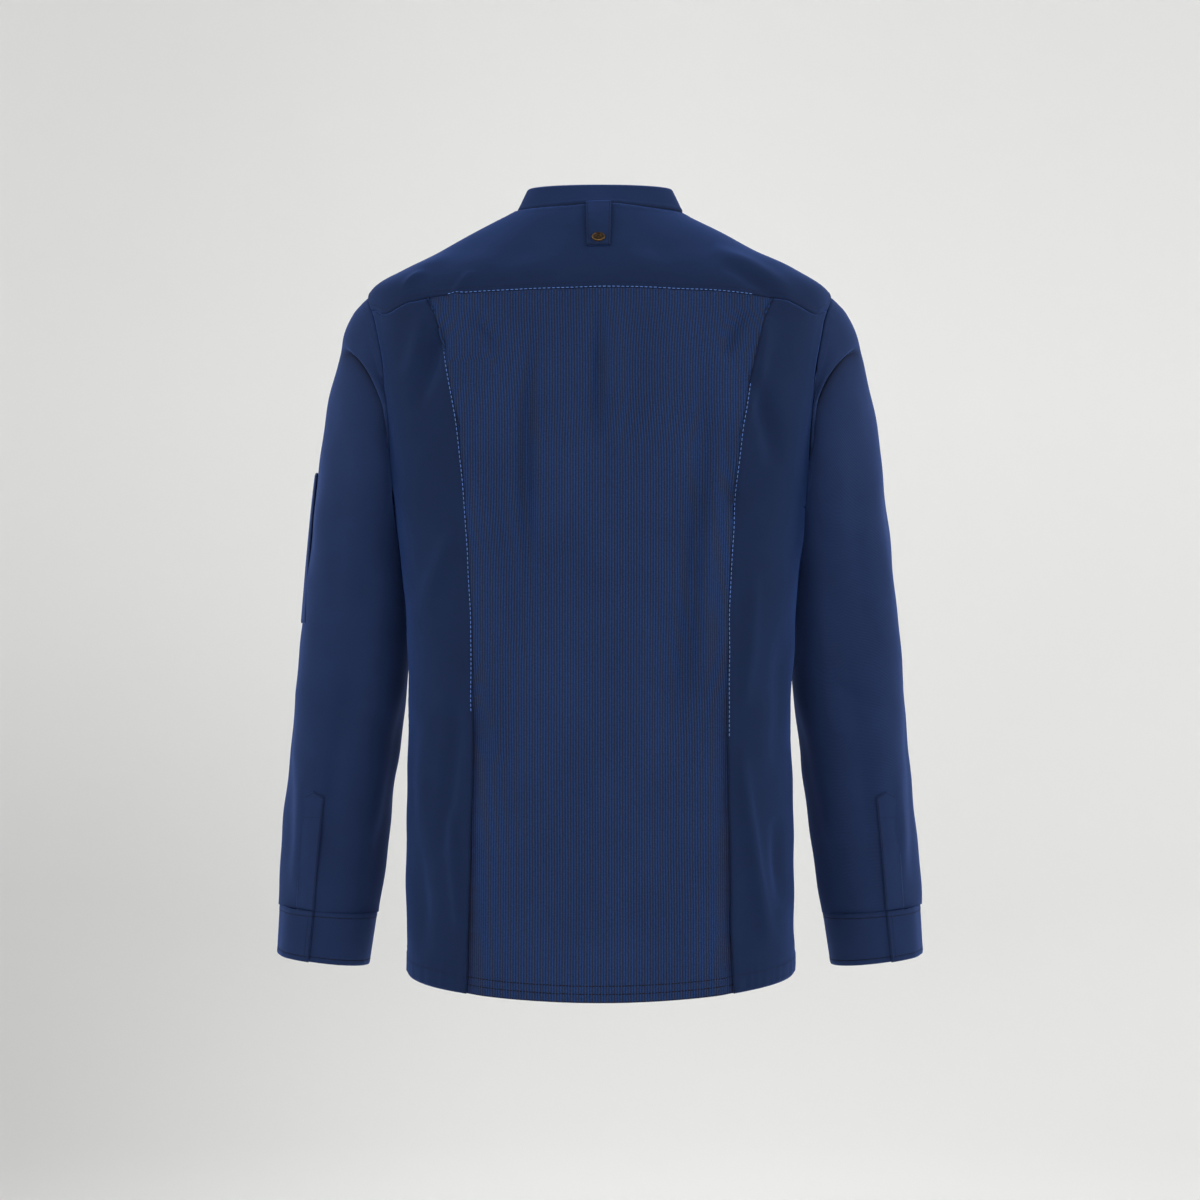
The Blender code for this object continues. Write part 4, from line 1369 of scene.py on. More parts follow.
@dataclass
class BackBody(BodyPanels):
    """The yoke, the airy centre panel, the two side back panels and the loop."""

    knit: bpy.types.Material
    wall: float = 1.3 * MM
    furrow: float = 3.6 * MM
    furrow_top: float = 10.0
    furrow_full: float = 12.0
    furrow_width: float = 22 * MM
    furrow_power: float = 1.5
    # Painted shadow on the centre panel beside its sunk lower seams, where the side panels stand
    # proud.
    shadow_left: float = 5.5 * MM
    shadow_right: float = 10 * MM
    shadow_darks: tuple[float, float] = (0.42, 0.36)
    shadow_uneven: float = 0.25
    seam_pucker: float = 0.2 * MM
    allowance: tuple = ((0.3, 0.9), (0.8, 2.0), (2.0, 2.1), (4.5, 2.1))    # past, deep, mm
    pale_half: float = 141 * MM
    pale_overlap: float = 2 * MM
    pale_sides: tuple = (
        ("left", Edge.FIRST, -474 * MM, -125 * MM), ("right", Edge.LAST, -497 * MM, -172 * MM),
    )
    second_row: float = 6.0 * MM
    tab_width: float = 23.5 * MM
    tab_x: float = 1.4 * MM
    tab_taper: float = 0.08
    tab_arch: float = 1.2 * MM
    tab_foot: float = 2.0
    tab_stud: float = 1.68
    tab_lift: float = 2.1 * MM
    tab_wall: float = 1.5 * MM
    cloths: dict = field(default_factory=dict)

    def furrow_depth(self, ring: Array) -> Array:
        """Depth of the furrow along the centre panel's lower seams, by a smooth step."""
        share = (ring - self.furrow_top) / (self.furrow_full - self.furrow_top)
        return self.furrow * smooth(share)

    def side_rows(self, armhole_rows: int, side_rows: int) -> tuple[Array, Array]:
        """Rings and angles down a side back panel's outer edge: armhole, then side.

        Args:
            armhole_rows: how many rows beside the armhole.
            side_rows: how many below it.

        Returns:
            Ring numbers and angles.
        """
        form = self.form
        ring, angle = form.armhole(np.linspace(form.yoke_turn, math.pi, armhole_rows))
        below = np.linspace(ring[-1], float(form.hem(BACK_SIDE)), side_rows)[1:]
        return np.concatenate([ring, below]), np.concatenate([angle, np.full(len(below), BACK_SIDE)])

    def yoke(self) -> Cloth:
        """The yoke: from the neckline to its seam, and over the shoulders to the front.

        Returns:
            The cloth.
        """
        form = self.form
        end = float(form.armhole(form.yoke_turn)[1])
        middle = np.linspace(0, end, 74)
        turns = np.concatenate([
            np.linspace(form.yoke_turn, 0, 22)[1:],
            np.linspace(0, -form.shoulder_turn, 12)[1:],
        ])
        side_ring, side_angle = form.armhole(turns)
        half = np.concatenate([middle, side_angle])
        foot = np.concatenate([form.yoke(middle), side_ring])
        angle = np.concatenate([-half[:0:-1], half])
        foot = np.concatenate([foot[:0:-1], foot])
        ring = np.linspace(0, 1, 66)[:, None] * foot
        points = self.lay_panel(ring, np.broadcast_to(angle, ring.shape), 0.0, False)
        return Cloth(
            "yoke_twill", points, self.wall, centre_column=len(half) - 1, seed=11,
            edges={Edge.TOP: PLAIN_SEAM, Edge.FOOT: YOKE_EDGE,
                   Edge.FIRST: FELLED, Edge.LAST: FELLED},
        )

    def centre(self) -> Cloth:
        """The airy centre panel, sunk along its lower seams, with painted shadow beside them.

        Returns:
            The cloth.
        """
        form = self.form
        shares = np.linspace(0, 1, 216)
        _, seam_angle = form.panel_seam(shares)
        angle = np.linspace(-1, 1, 109)[None, :] * seam_angle[:, None]
        top = form.yoke(angle)
        ring = top + shares[:, None] * (form.hem(angle) - top)
        plain = form.plain(ring, angle)
        across = lengths(plain, 1)
        near = np.minimum(across, across[:, -1:] - across)
        depth = self.furrow_depth(ring)
        push = -depth * (1 - smooth(near / self.furrow_width)) ** self.furrow_power
        push = push + FELLED.roll(near)
        wave = ripple(lengths(plain, 0) / MM, 14, 12)
        push = push + self.seam_pucker * wave * bump(near / (6 * MM)) * smooth(near / (2 * MM))
        # Painted shadow beside both lower seams, uneven along them, carried out over the allowances.
        left = (across[:, -1:] - across) / self.shadow_left
        right = across / self.shadow_right
        low = smooth((ring - self.furrow_top) / (self.furrow_full - self.furrow_top))
        low = low * (1 - self.shadow_uneven + self.shadow_uneven * wave)
        dark_left, dark_right = self.shadow_darks
        past = len(self.allowance)
        shade = np.pad(
            low * (dark_left * bump(left) + dark_right * bump(right)),
            ((0, 0), (past, past)), mode="edge",
        )
        angle, ring, push = self.add_allowances(angle, ring, push)
        points = self.lay_panel(ring, angle, push, False)
        return Cloth(
            "centre_back_knit", points, self.wall, centre_column=54 + past,
            seed=12, edges={Edge.TOP: PLAIN_SEAM, Edge.FOOT: HEM_DOUBLE}, shade=shade,
        )

    def add_allowances(
        self, angle: Array, ring: Array, push: Array
    ) -> tuple[Array, Array, Array]:
        """Columns past both seams of the centre panel, which lie under the side panels.

        Args:
            angle: angles of the grid.
            ring: its ring numbers.
            push: its distances outwards, in metres.

        Returns:
            The three grids with their allowances.
        """
        step = 1e-3
        speed = np.linalg.norm(
            self.form.plain(ring[:, -1], angle[:, -1] + step)
            - self.form.plain(ring[:, -1], angle[:, -1] - step), axis=-1,
        ) / (2 * step)
        edge, seam = angle[:, -1:], ring[:, -1:]
        for past, deep in self.allowance:
            out = edge + (past * MM / speed)[:, None]
            low = -np.maximum(deep * MM, self.furrow_depth(seam) + 0.2 * deep * MM)
            angle = np.hstack([-out, angle, out])
            ring = np.hstack([seam, ring, seam])
            push = np.hstack([low, push, low])
        return angle, ring, push

    def side(self, flip: bool) -> Cloth:
        """A side back panel, which stands proud of the centre panel's lower seam.

        Args:
            flip: whether it is for the wearer's right.

        Returns:
            The cloth.
        """
        form = self.form
        outer_ring, outer_angle = self.side_rows(84, 150)
        shares = (outer_ring - outer_ring[0]) / (outer_ring[-1] - outer_ring[0])
        seam_ring, seam_angle = form.panel_seam(shares)
        share = np.linspace(0, 1, 44)[None, :] ** 1.5
        angle = seam_angle[:, None] + share * (outer_angle - seam_angle)[:, None]
        ring = seam_ring[:, None] + share * (outer_ring - seam_ring)[:, None]
        ring = ring + (form.yoke(angle[0]) - ring[0]) * (1 - smooth(shares / 0.15))[:, None]
        points = self.lay_panel(ring, angle, 0.0, flip)
        inner, outer = (Edge.LAST, Edge.FIRST) if flip else (Edge.FIRST, Edge.LAST)
        return Cloth(
            f"side_back_{'right' if flip else 'left'}_twill", points, self.wall,
            centre_column=43 if flip else 0, seed=13 + flip,
            edges={Edge.TOP: PLAIN_SEAM, Edge.FOOT: HEM_SINGLE,
                   inner: FELLED, outer: PLAIN_SEAM},
        )

    def tab(self) -> Cloth:
        """The loop below the collar, arched a little between its seam and its stud.

        Returns:
            The cloth.
        """
        share = np.linspace(0, 1, 64)[:, None]
        ring = share * self.tab_foot
        across = np.linspace(-1, 1, 33) * self.tab_width / 2
        x = self.tab_x + across * (1 - self.tab_taper * share)
        ring, x = np.broadcast_arrays(ring, x)
        angle = np.sign(x) * self.form.angle_at(ring, np.abs(x))
        to_stud = np.clip(ring / self.tab_stud, 0, 1)
        lift = self.tab_lift + self.tab_arch * np.sin(math.pi * to_stud)
        points = self.lay_panel(ring, angle, lift, False)
        return Cloth(
            "back_tab_twill", points, self.tab_wall, centre_column=16, seed=15,
            edges={Edge.FOOT: FOLDED, Edge.FIRST: FOLDED, Edge.LAST: FOLDED},
        )

    def build(self) -> None:
        """Builds the five cloths and puts each in its solid's place."""
        made = {"yoke": self.yoke(), "centre": self.centre(), "tab": self.tab(),
                "left": self.side(False), "right": self.side(True)}
        for cloth in made.values():
            cloth.sew_edges()
        self.cloths = made
        place_cloth(made["yoke"], self.twill, ("yoke",))
        place_cloth(made["centre"], self.knit, ("back_centre",))
        for side in ("left", "right"):
            place_cloth(made[side], self.twill, (f"side_back_{side}",))
        place_cloth(made["tab"], self.twill, ("back_tab",))

    def stitch(self, pale: Stitches, navy: Stitches, brown: Stitches) -> None:
        """Sews the rows that show on the back.

        Args:
            pale: the pale blue thread of the yoke and panel seams.
            navy: the thread of the tone-on-tone rows.
            brown: the dark thread of the centre panel's hem.
        """
        yoke, centre = self.cloths["yoke"], self.cloths["centre"]
        line, up = yoke.rows(Edge.FOOT)[0]
        middle = (np.abs(line[:, 0]) < self.pale_half) & (line[:, 1] > 0)
        pale.sew(line[middle], up[middle])
        for sign in (-1, 1):
            rest = line[:, 0] * sign > self.pale_half - self.pale_overlap
            navy.sew(line[rest], up[rest])
        navy.sew(*yoke.line(Edge.FOOT, self.second_row))
        for edge in (Edge.FIRST, Edge.LAST):
            navy.sew(*yoke.rows(edge)[0])
        for row in centre.rows(Edge.FOOT):
            brown.sew(*row)
        for side, edge, low, high in self.pale_sides:
            cloth = self.cloths[side]
            navy.sew(*cloth.rows(Edge.FOOT)[0])
            line, up = cloth.rows(edge)[0]
            shown = (line[:, 2] > low) & (line[:, 2] < high)
            pale.sew(line[shown], up[shown])
            above = line[:, 2] >= high
            navy.sew(line[above], up[above])
        tab = self.cloths["tab"]
        for edge in (Edge.FIRST, Edge.LAST, Edge.FOOT):
            navy.sew(*tab.rows(edge)[0])


# ---------------------------------------------------------------- fronts


@dataclass
class Fronts(BodyPanels):
    """The two fronts, the left lapped over the right and closed with studs."""

    wall: float = 1.3 * MM
    over_edge: float = -20 * MM
    under_edge: float = 27 * MM
    over_lift: float = 2.1 * MM
    ramp: tuple[float, float] = (18 * MM, 27 * MM)
    placket_row: float = 36 * MM
    cloths: dict = field(default_factory=dict)

    def outer_edge(self) -> tuple[Array, Array]:
        """Rings and angles down a front's outer edge: shoulder, armhole, side.

        Returns:
            Ring numbers and angles.
        """
        form = self.form
        ring, angle = form.armhole(np.linspace(-form.shoulder_turn, -math.pi, 96))
        shoulder = np.linspace(0, ring[0], 46)[:-1]
        below = np.linspace(ring[-1], float(form.hem(BACK_SIDE)), 146)[1:]
        rings = np.concatenate([shoulder, ring, below])
        angles = np.concatenate([
            np.full(len(shoulder), angle[0]), angle, np.full(len(below), BACK_SIDE)
        ])
        return rings, angles

    def front(self, flip: bool) -> Cloth:
        """One front, from its outer edge to past the centre front.

        Args:
            flip: whether it is for the wearer's right, which lies under.

        Returns:
            The cloth.
        """
        form = self.form
        outer_ring, outer_angle = self.outer_edge()
        centre_ring = outer_ring / outer_ring[-1] * float(form.hem(math.pi))
        edge_x = self.over_edge if not flip else -self.under_edge
        edge_angle = form.front_angle_at(centre_ring, edge_x)
        share = np.linspace(0, 1, 100)[None, :]
        angle = outer_angle[:, None] + share * (edge_angle - outer_angle)[:, None]
        ring = outer_ring[:, None] + share * (centre_ring - outer_ring)[:, None]
        push = np.zeros(ring.shape)
        if not flip:
            x = form.plain(ring, angle)[..., 0]
            start, end = self.ramp
            push = self.over_lift * (1 - smooth((x - start) / (end - start)))
        points = self.lay_panel(ring, angle, push, flip)
        inner, outer = (Edge.FIRST, Edge.LAST) if flip else (Edge.LAST, Edge.FIRST)
        return Cloth(
            f"front_{'right' if flip else 'left'}_twill", points, self.wall,
            centre_column=0 if flip else 99, seed=21 + flip,
            edges={Edge.TOP: PLAIN_SEAM, Edge.FOOT: HEM_SINGLE,
                   inner: FOLDED, outer: PLAIN_SEAM},
        )

    def build(self) -> None:
        """Builds both fronts and puts each in its solid's place."""
        for side, flip in (("left", False), ("right", True)):
            cloth = self.front(flip)
            cloth.sew_edges()
            self.cloths[side] = cloth
            place_cloth(cloth, self.twill, (f"front_{side}",))

    def stitch(self, navy: Stitches) -> None:
        """Sews the front edges, the placket and the hems.

        Args:
            navy: the tone-on-tone thread.
        """
        left, right = self.cloths["left"], self.cloths["right"]
        navy.sew(*left.line(Edge.LAST, 1.8 * MM))
        navy.sew(*left.line(Edge.LAST, self.placket_row))
        navy.sew(*right.line(Edge.FIRST, 1.8 * MM))
        for cloth in (left, right):
            navy.sew(*cloth.line(Edge.FOOT, 16.2 * MM))


# ---------------------------------------------------------------- sleeves


class SleeveRing(NamedTuple):
    """Columns of the sleeve's table, in millimetres but for squareness."""

    outer_x: Array
    outer_z: Array
    inner_x: Array
    inner_z: Array
    middle_y: Array
    half_depth: Array
    squareness: Array


@dataclass(frozen=True)
class SleeveForm:
    """The left sleeve as one surface: ovals from the armhole, 0, to the cuff, 14.

    Turns run round the arm from its outside, over the back, to the underarm.
    """

    body: BodyForm
    rings: tuple = (
        (217.0, -82, 188.0, -285.5, 0, 66, 2.2),
        (232.0, -98, 188.3, -287.0, 0, 67, 2.2),
        (242.8, -125, 188.8, -289.0, 0, 69, 2.2),
        (255.3, -175, 189.3, -292.5, -1, 73, 2.2),
        (264.0, -224, 189.5, -298.0, -5, 75, 2.2),
        (270.8, -272, 188.5, -307.0, -12, 75, 2.2),
        (277.0, -320, 185.5, -326.0, -23, 72, 2.2),
        (283.0, -368, 182.0, -362.0, -34, 67, 2.2),
        (289.4, -418, 183.0, -411.0, -44, 62, 2.2),
        (294.8, -468, 187.5, -464.0, -52, 57, 2.15),
        (299.9, -516, 194.5, -514.0, -58, 54, 2.1),
        (304.3, -566, 202.2, -566.0, -63, 51, 2.1),
        (307.8, -616, 210.1, -618.0, -67, 48, 2.1),
        (310.3, -656, 216.4, -662.0, -70, 45.5, 2.1),
        (310.9, -665, 217.8, -673.0, -71, 45, 2.1),
    )
    cuff_rings: tuple = (
        (311.9, -664.9, 217.0, -672.9, -71, 45.8, 2.1),
        (315.0, -712.5, 225.0, -724.0, -75, 45.0, 2.1),
    )
    crease_ring: float = 2.0
    fold_rows: tuple = (
        (-34, 0.0), (-22, 0.5), (-13, 1.1), (-7, 1.6), (-3, 1.9), (0, 1.9), (1.4, 1.6),
        (2.0, 0.9), (1.9, -0.2), (1.5, -1.4), (1.0, -2.6), (1.3, -3.5), (2.3, -3.7),
        (3.2, -3.0), (4.2, -2.3), (7.5, -1.8), (14, -1.2), (24, -0.5), (38, 0.0),
    )
    fold_height: float = 36.0
    at_outside: float = 0.15
    fade: tuple[float, float] = (math.radians(85), math.radians(130))
    arm_rings: float = 4.0
    clearance: float = 1.4 * MM

    def ovals(self, table: tuple, position: Array, turn: Array) -> Array:
        """Points of the plain ovals: along their long axis by cosine, in y by sine.

        Args:
            table: rows of SleeveRing.
            position: row numbers.
            turn: round the arm, in radians.

        Returns:
            Points.
        """
        ring = SleeveRing(*read_rows(table, position))
        half_x = (ring.outer_x - ring.inner_x) / 2
        half_z = (ring.outer_z - ring.inner_z) / 2
        half = np.hypot(half_x, half_z)
        reach = oval(turn, ring.half_depth, half, ring.squareness)
        along = 1 + reach * np.cos(turn) / half
        return MM * np.stack(
            [ring.inner_x + along * half_x, ring.middle_y + reach * np.sin(turn),
             ring.inner_z + along * half_z], axis=-1,
        )

    def from_top(self, turn: Array) -> Array:
        """The angle from the top of the arm, whichever way round."""
        return np.abs((turn + math.pi) % (2 * math.pi) - math.pi)

    def surface(self, position: Array, turn: Array) -> Array:
        """Points of the sleeve: its ovals, bent at the top to start on the armhole.

        Args:
            position: row numbers.
            turn: round the arm, in radians.

        Returns:
            Points.
        """
        position, turn = np.broadcast_arrays(np.asarray(position, float), turn)
        seam = self.body.plain(*self.body.armhole(turn))
        away = self.from_top(turn)
        outwards = np.clip(np.cos(away), 0, None) ** 1.2
        downwards = (1 + np.cos(np.minimum(away * 1.3, math.pi))) / 2
        first = SleeveRing(*self.rings[0])
        last = SleeveRing(*self.rings[int(self.crease_ring)])
        fall = last.outer_z - first.outer_z
        foot_fall = last.inner_z - first.inner_z
        crease = seam + MM * np.stack(
            [(last.outer_x - first.outer_x) * outwards + 0.8, 2.0 * np.sin(turn),
             fall * downwards + foot_fall * (1 - downwards)], axis=-1,
        )
        seam_oval = self.ovals(self.rings, np.zeros_like(turn), turn)
        crease_oval = self.ovals(self.rings, np.full_like(turn, self.crease_ring), turn)
        cap = np.clip(position / self.crease_ring, 0, 1)[..., None]
        arm = smooth((position - self.crease_ring) / self.arm_rings)[..., None]
        fit = (seam - seam_oval) * (1 - cap) + (crease - crease_oval) * cap * (1 - arm)
        return self.ovals(self.rings, position, turn) + fit

    def clear_of_body(self, points: Array, clearance: Array) -> Array:
        """Moves points out in x until they are clear of the body.

        The body's half width at a depth y is a (1 - |y/b|^n)^(1/n).

        Args:
            points: of the sleeve.
            clearance: to keep, in metres.

        Returns:
            The moved points.
        """
        numbers = np.linspace(self.body.yoke_seam, self.body.last, 200)
        heights = BodyRing(*read_rows(self.body.rings, numbers)).side_z * MM
        number = np.interp(-points[..., 2], -heights, numbers)
        ring = BodyRing(*read_rows(self.body.rings, number))
        y = points[..., 1] / MM - ring.side_y
        depth = np.where(y >= 0, ring.back_y - ring.side_y, ring.side_y - ring.front_y)
        inside = np.clip(1 - np.abs(y / depth) ** ring.squareness, 0, None)
        wall = MM * ring.half_width * inside ** (1 / ring.squareness) + clearance
        below_shoulder = smooth((-points[..., 2] - 100 * MM) / (40 * MM))
        moved = points.copy()
        moved[..., 0] += np.maximum(wall - points[..., 0], 0) * below_shoulder
        return moved

    def fold_share(self, turn: Array) -> Array:
        """How much of the shoulder fold there is round the arm: most over the back."""
        start, end = self.fade
        fade = 1 - smooth((self.from_top(turn) - start) / (end - start))
        return fade * (self.at_outside + (1 - self.at_outside) * np.sin(turn) ** 2)

    def fold_at(self, row: Array) -> tuple[Array, Array]:
        """The shoulder fold's profile, read between its rows.

        Args:
            row: row numbers of its table, which may be fractional.

        Returns:
            Distances down the sleeve in rings, and outwards in metres.
        """
        down, out = read_rows(self.fold_rows, row)
        return down / self.fold_height, out * MM

    def points(self, position: Array, turn: Array, tube: bool) -> tuple[Array, Array]:
        """The sleeve's outer points, clear of the body, and the plain normals.

        Args:
            position: row numbers.
            turn: round the arm, in radians.
            tube: whether the last column joins the first.

        Returns:
            Points and normals.
        """
        plain = self.surface(position, turn)
        clearance = self.clearance * np.clip(position / self.crease_ring, 0.1, 1)
        plain = self.clear_of_body(plain, clearance)
        return plain, surface_normals(plain, tube)

    def folded(self, before: Array, after: Array, turns: Array) -> Array:
        """The whole sleeve: rows above the fold, those of the fold, and those below.

        The fold's rows turn over and under, so its lip overhangs a tuck.

        Args:
            before: row numbers above the fold.
            after: row numbers below it.
            turns: the columns, round the arm.

        Returns:
            Rows by columns of points.
        """
        down, out = self.fold_at(np.linspace(0, len(self.fold_rows) - 1, 64))
        share = self.fold_share(turns)
        even = np.linspace(down[0], down[-1], len(down))
        fold = even[:, None] + (down - even)[:, None] * np.clip(share * 1.6, 0, 1)
        position = np.concatenate([
            np.repeat(before[:, None], len(turns), axis=1),
            self.crease_ring + fold,
            np.repeat(after[:, None], len(turns), axis=1),
        ])
        push = np.concatenate([
            np.zeros((len(before), len(turns))), out[:, None] * share,
            np.zeros((len(after), len(turns))),
        ])
        plain, _ = self.points(position, turns[None, :], True)
        ahead, _ = self.points(position + 0.01, turns[None, :], True)
        round_it = (np.roll(plain, -1, axis=1) - np.roll(plain, 1, axis=1)) / 2
        normal = unit(np.cross(round_it, ahead - plain))
        return plain + normal * push[..., None]


@dataclass
class Sleeve:
    """One arm: the sleeve, its cuff, the placket of its slit and perhaps a pocket."""

    form: SleeveForm
    drape: Drape
    twill: bpy.types.Material
    flip: bool
    pocket: bool
    wall: float = 1.3 * MM
    band: float = 2.2 * MM
    layer: float = 2.1 * MM
    cuff_edge: float = math.radians(78)
    cuff_overlap: float = math.radians(24)
    cuff_lift: float = 2.9 * MM
    cuff_rise: tuple[float, float] = (1.15, 2.35)
    rows_above: int = 23    # the fold
    rows_below: int = 168
    # tuck_rows: painted shade in the fold's hidden tuck and painted shadow on the cloth just below
    # the fold
    tuck_rows: tuple = ((43, 5.5, 1.0), (48, 6.5, 0.75))    # row, half width, darkness
    placket_turns: tuple[float, float] = (math.radians(53), math.radians(78))
    placket_rings: tuple[float, float] = (10.72, 13.75)
    placket_point: float = 0.12
    placket_lift: tuple[float, float] = (0.95 * MM, 2.9 * MM)
    placket_wall: float = 0.8 * MM
    box_stitch: float = 11.22
    pocket_turns: tuple[float, float] = (math.radians(16), math.radians(-46))
    pocket_lean: float = math.radians(21)    # the back edge leans back below
    pocket_rings: tuple[float, float] = (4.52, 7.48)
    pocket_bulge: float = 1.9 * MM
    pocket_edge: float = 0.9 * MM
    cloths: dict = field(default_factory=dict)

    @property
    def side(self) -> str:
        """The wearer's side."""
        return "right" if self.flip else "left"

    def turned(self, points: Array) -> Array:
        """Points on the wearer's own side."""
        return mirrored(points) if self.flip else points

    def outer(self, first: bool) -> Edge:
        """The column edge at the start of a left piece, or its twin on the right."""
        return Edge.FIRST if first != self.flip else Edge.LAST

    def tube(self) -> Cloth:
        """The sleeve itself, a tube from the armhole to the cuff.

        Returns:
            The cloth.
        """
        turns = math.pi - np.linspace(0, 2 * math.pi, 128, endpoint=False)
        first, last = (self.form.crease_ring + row[0] / self.form.fold_height
                       for row in (self.form.fold_rows[0], self.form.fold_rows[-1]))
        points = self.form.folded(
            np.linspace(0, first, self.rows_above + 1)[:-1],
            np.linspace(last, 14, self.rows_below)[1:], turns
        )
        points = self.drape.lay(self.turned(points), True)
        return Cloth(
            f"sleeve_{self.side}_twill", points, self.wall, tube=True, seed=31 + self.flip,
            centre_column=64,
            edges={Edge.TOP: PLAIN_SEAM}, shade=self.fold_shade(points),
        )

    def fold_shade(self, points: Array) -> Array:
        """How dark the painted shade in the tuck of the shoulder fold and the painted shadow just
        below it are: bells round its rows.

        Args:
            points: the sleeve's grid.

        Returns:
            Rows by columns, 0 to 1.
        """
        rows, columns = points.shape[:2]
        row = np.arange(rows)[:, None] - self.rows_above
        (inmost, half, dark), (under, under_half, under_dark) = self.tuck_rows
        tuck = dark * bump((row - inmost) / half)
        tuck = tuck + under_dark * bump((row - under) / under_half) * (row > inmost)
        turns = math.pi - np.linspace(0, 2 * math.pi, columns, endpoint=False)
        share = self.form.fold_share(turns)
        share = share[::-1] if self.flip else share
        return np.clip(tuck * np.clip(share * 1.5, 0, 1), 0, 0.95)

    def cuff(self) -> Cloth:
        """The cuff, a band whose end behind the arm lies over the other end.

        Returns:
            The cloth.
        """
        sweep = 2 * math.pi + self.cuff_overlap
        turn, height = np.meshgrid(
            self.cuff_edge - np.linspace(0, sweep, 150), np.linspace(0, 1, 30)
        )
        plain = self.form.ovals(self.form.cuff_rings, height, turn)
        normal = surface_normals(plain, False)
        past = (self.cuff_edge - turn) / self.cuff_overlap
        start, end = self.cuff_rise
        push = self.cuff_lift * (1 - smooth((past - start) / (end - start)))
        points = self.turned(plain + normal * push[..., None])
        return Cloth(
            f"cuff_{self.side}_twill", points, self.band, seed=33 + self.flip,
            edges={Edge.TOP: CUFF_BAND, Edge.FOOT: CUFF_BAND, self.outer(True): FOLDED,
                   self.outer(False): FOLDED},
        )

    def placket(self) -> Cloth:
        """The strip with a pointed top that covers the slit above the cuff.

        Returns:
            The cloth.
        """
        across = np.linspace(0, 1, 31)
        shares = np.linspace(0, 1, 84)
        first, last = self.placket_turns
        turn = last + (first - last) * np.tile(across, (len(shares), 1))
        top = self.placket_rings[0] + self.placket_point * np.abs(across - 0.5) * 2
        position = top + shares[:, None] * (self.placket_rings[1] - top)
        plain = self.form.surface(position, turn)
        normal = surface_normals(plain, False)
        flat, free = self.placket_lift
        lift = flat + (free - flat) * smooth(1 - across) * smooth(shares[:, None] * 2.5)
        points = self.turned(plain + normal * lift[..., None])
        return Cloth(
            f"sleeve_placket_{self.side}_twill", points, self.placket_wall, seed=35 + self.flip,
            edges={Edge.TOP: FOLDED, self.outer(True): FOLDED, self.outer(False): FOLDED},
        )

    def pen_pocket(self) -> Cloth:
        """The pen pocket: a patch that bulges, open at its top.

        Returns:
            The cloth.
        """
        near = np.linspace(0, 1, 44)[None, :]
        share = np.linspace(0, 1, 64)[:, None]
        turn = np.linspace(*self.pocket_turns, 44)[None, :]
        turn = turn + self.pocket_lean * share**0.7 * (1 - near)
        top, foot = self.pocket_rings
        position, turn = np.broadcast_arrays(top + share * (foot - top), turn)
        plain, normal = self.form.points(position, turn, False)
        across = np.linspace(-1, 1, 44)[None, :]
        open_top = (1 - smooth(share * 1.3 - 0.3)) ** 0.5
        bulge = self.pocket_bulge * (1 - across**4) * open_top
        layer = self.pocket_edge + (self.layer - self.pocket_edge) * smooth(near / 0.5)
        points = plain + normal * (layer + bulge)[..., None]
        return Cloth(
            "sleeve_pocket_twill", points, 0.8 * MM, seed=37,
            edges={edge: FOLDED for edge in Edge},
        )

    def build(self) -> None:
        """Builds the arm's cloths and puts each in its solid's place."""
        made = {"sleeve": self.tube(), "cuff": self.cuff(), "sleeve_placket": self.placket()}
        if self.pocket:
            made["sleeve_pocket"] = self.pen_pocket()
        for name, cloth in made.items():
            cloth.sew_edges()
            node = name if name == "sleeve_pocket" else f"{name}_{self.side}"
            hangs = ("yoke_twill",) if name == "sleeve" else (f"sleeve_{self.side}_twill",)
            place_cloth(cloth, self.twill, (node,))
        self.cloths = made

    def stitch(self, navy: Stitches, brown: Stitches) -> None:
        """Sews the cuff, the placket and the pocket.

        Args:
            navy: the tone-on-tone thread.
            brown: the dark thread of the cuff's rows.
        """
        cuff, placket = self.cloths["cuff"], self.cloths["sleeve_placket"]
        for edge in (Edge.TOP, Edge.FOOT):
            brown.sew(*cuff.line(edge, CUFF_BAND.rows[0] * MM))
        navy.sew(*cuff.line(self.outer(True), 5.0 * MM))
        for edge in (Edge.TOP, Edge.FIRST, Edge.LAST):
            navy.sew(*placket.line(edge, 1.8 * MM))
        top = self.placket_rings[0] + self.placket_point * np.abs(np.linspace(-1, 1, 31))
        row = (self.box_stitch - top) / (self.placket_rings[1] - top) * 83
        row = row[::-1] if self.flip else row
        first, column = np.floor(row).astype(int), np.arange(31)
        share = (row - first)[:, None]
        grid = placket.points
        line = grid[first, column] * (1 - share) + grid[first + 1, column] * share
        up = surface_normals(grid, False)[first, column]
        navy.sew(line[2:-2], up[2:-2])
        if self.pocket:
            pocket = self.cloths["sleeve_pocket"]
            for edge, away in (
                (Edge.TOP, 18), (Edge.FIRST, 1.8), (Edge.LAST, 1.8), (Edge.FOOT, 1.8)
            ):
                navy.sew(*pocket.line(edge, away * MM))


# ---------------------------------------------------------------- collar and studs


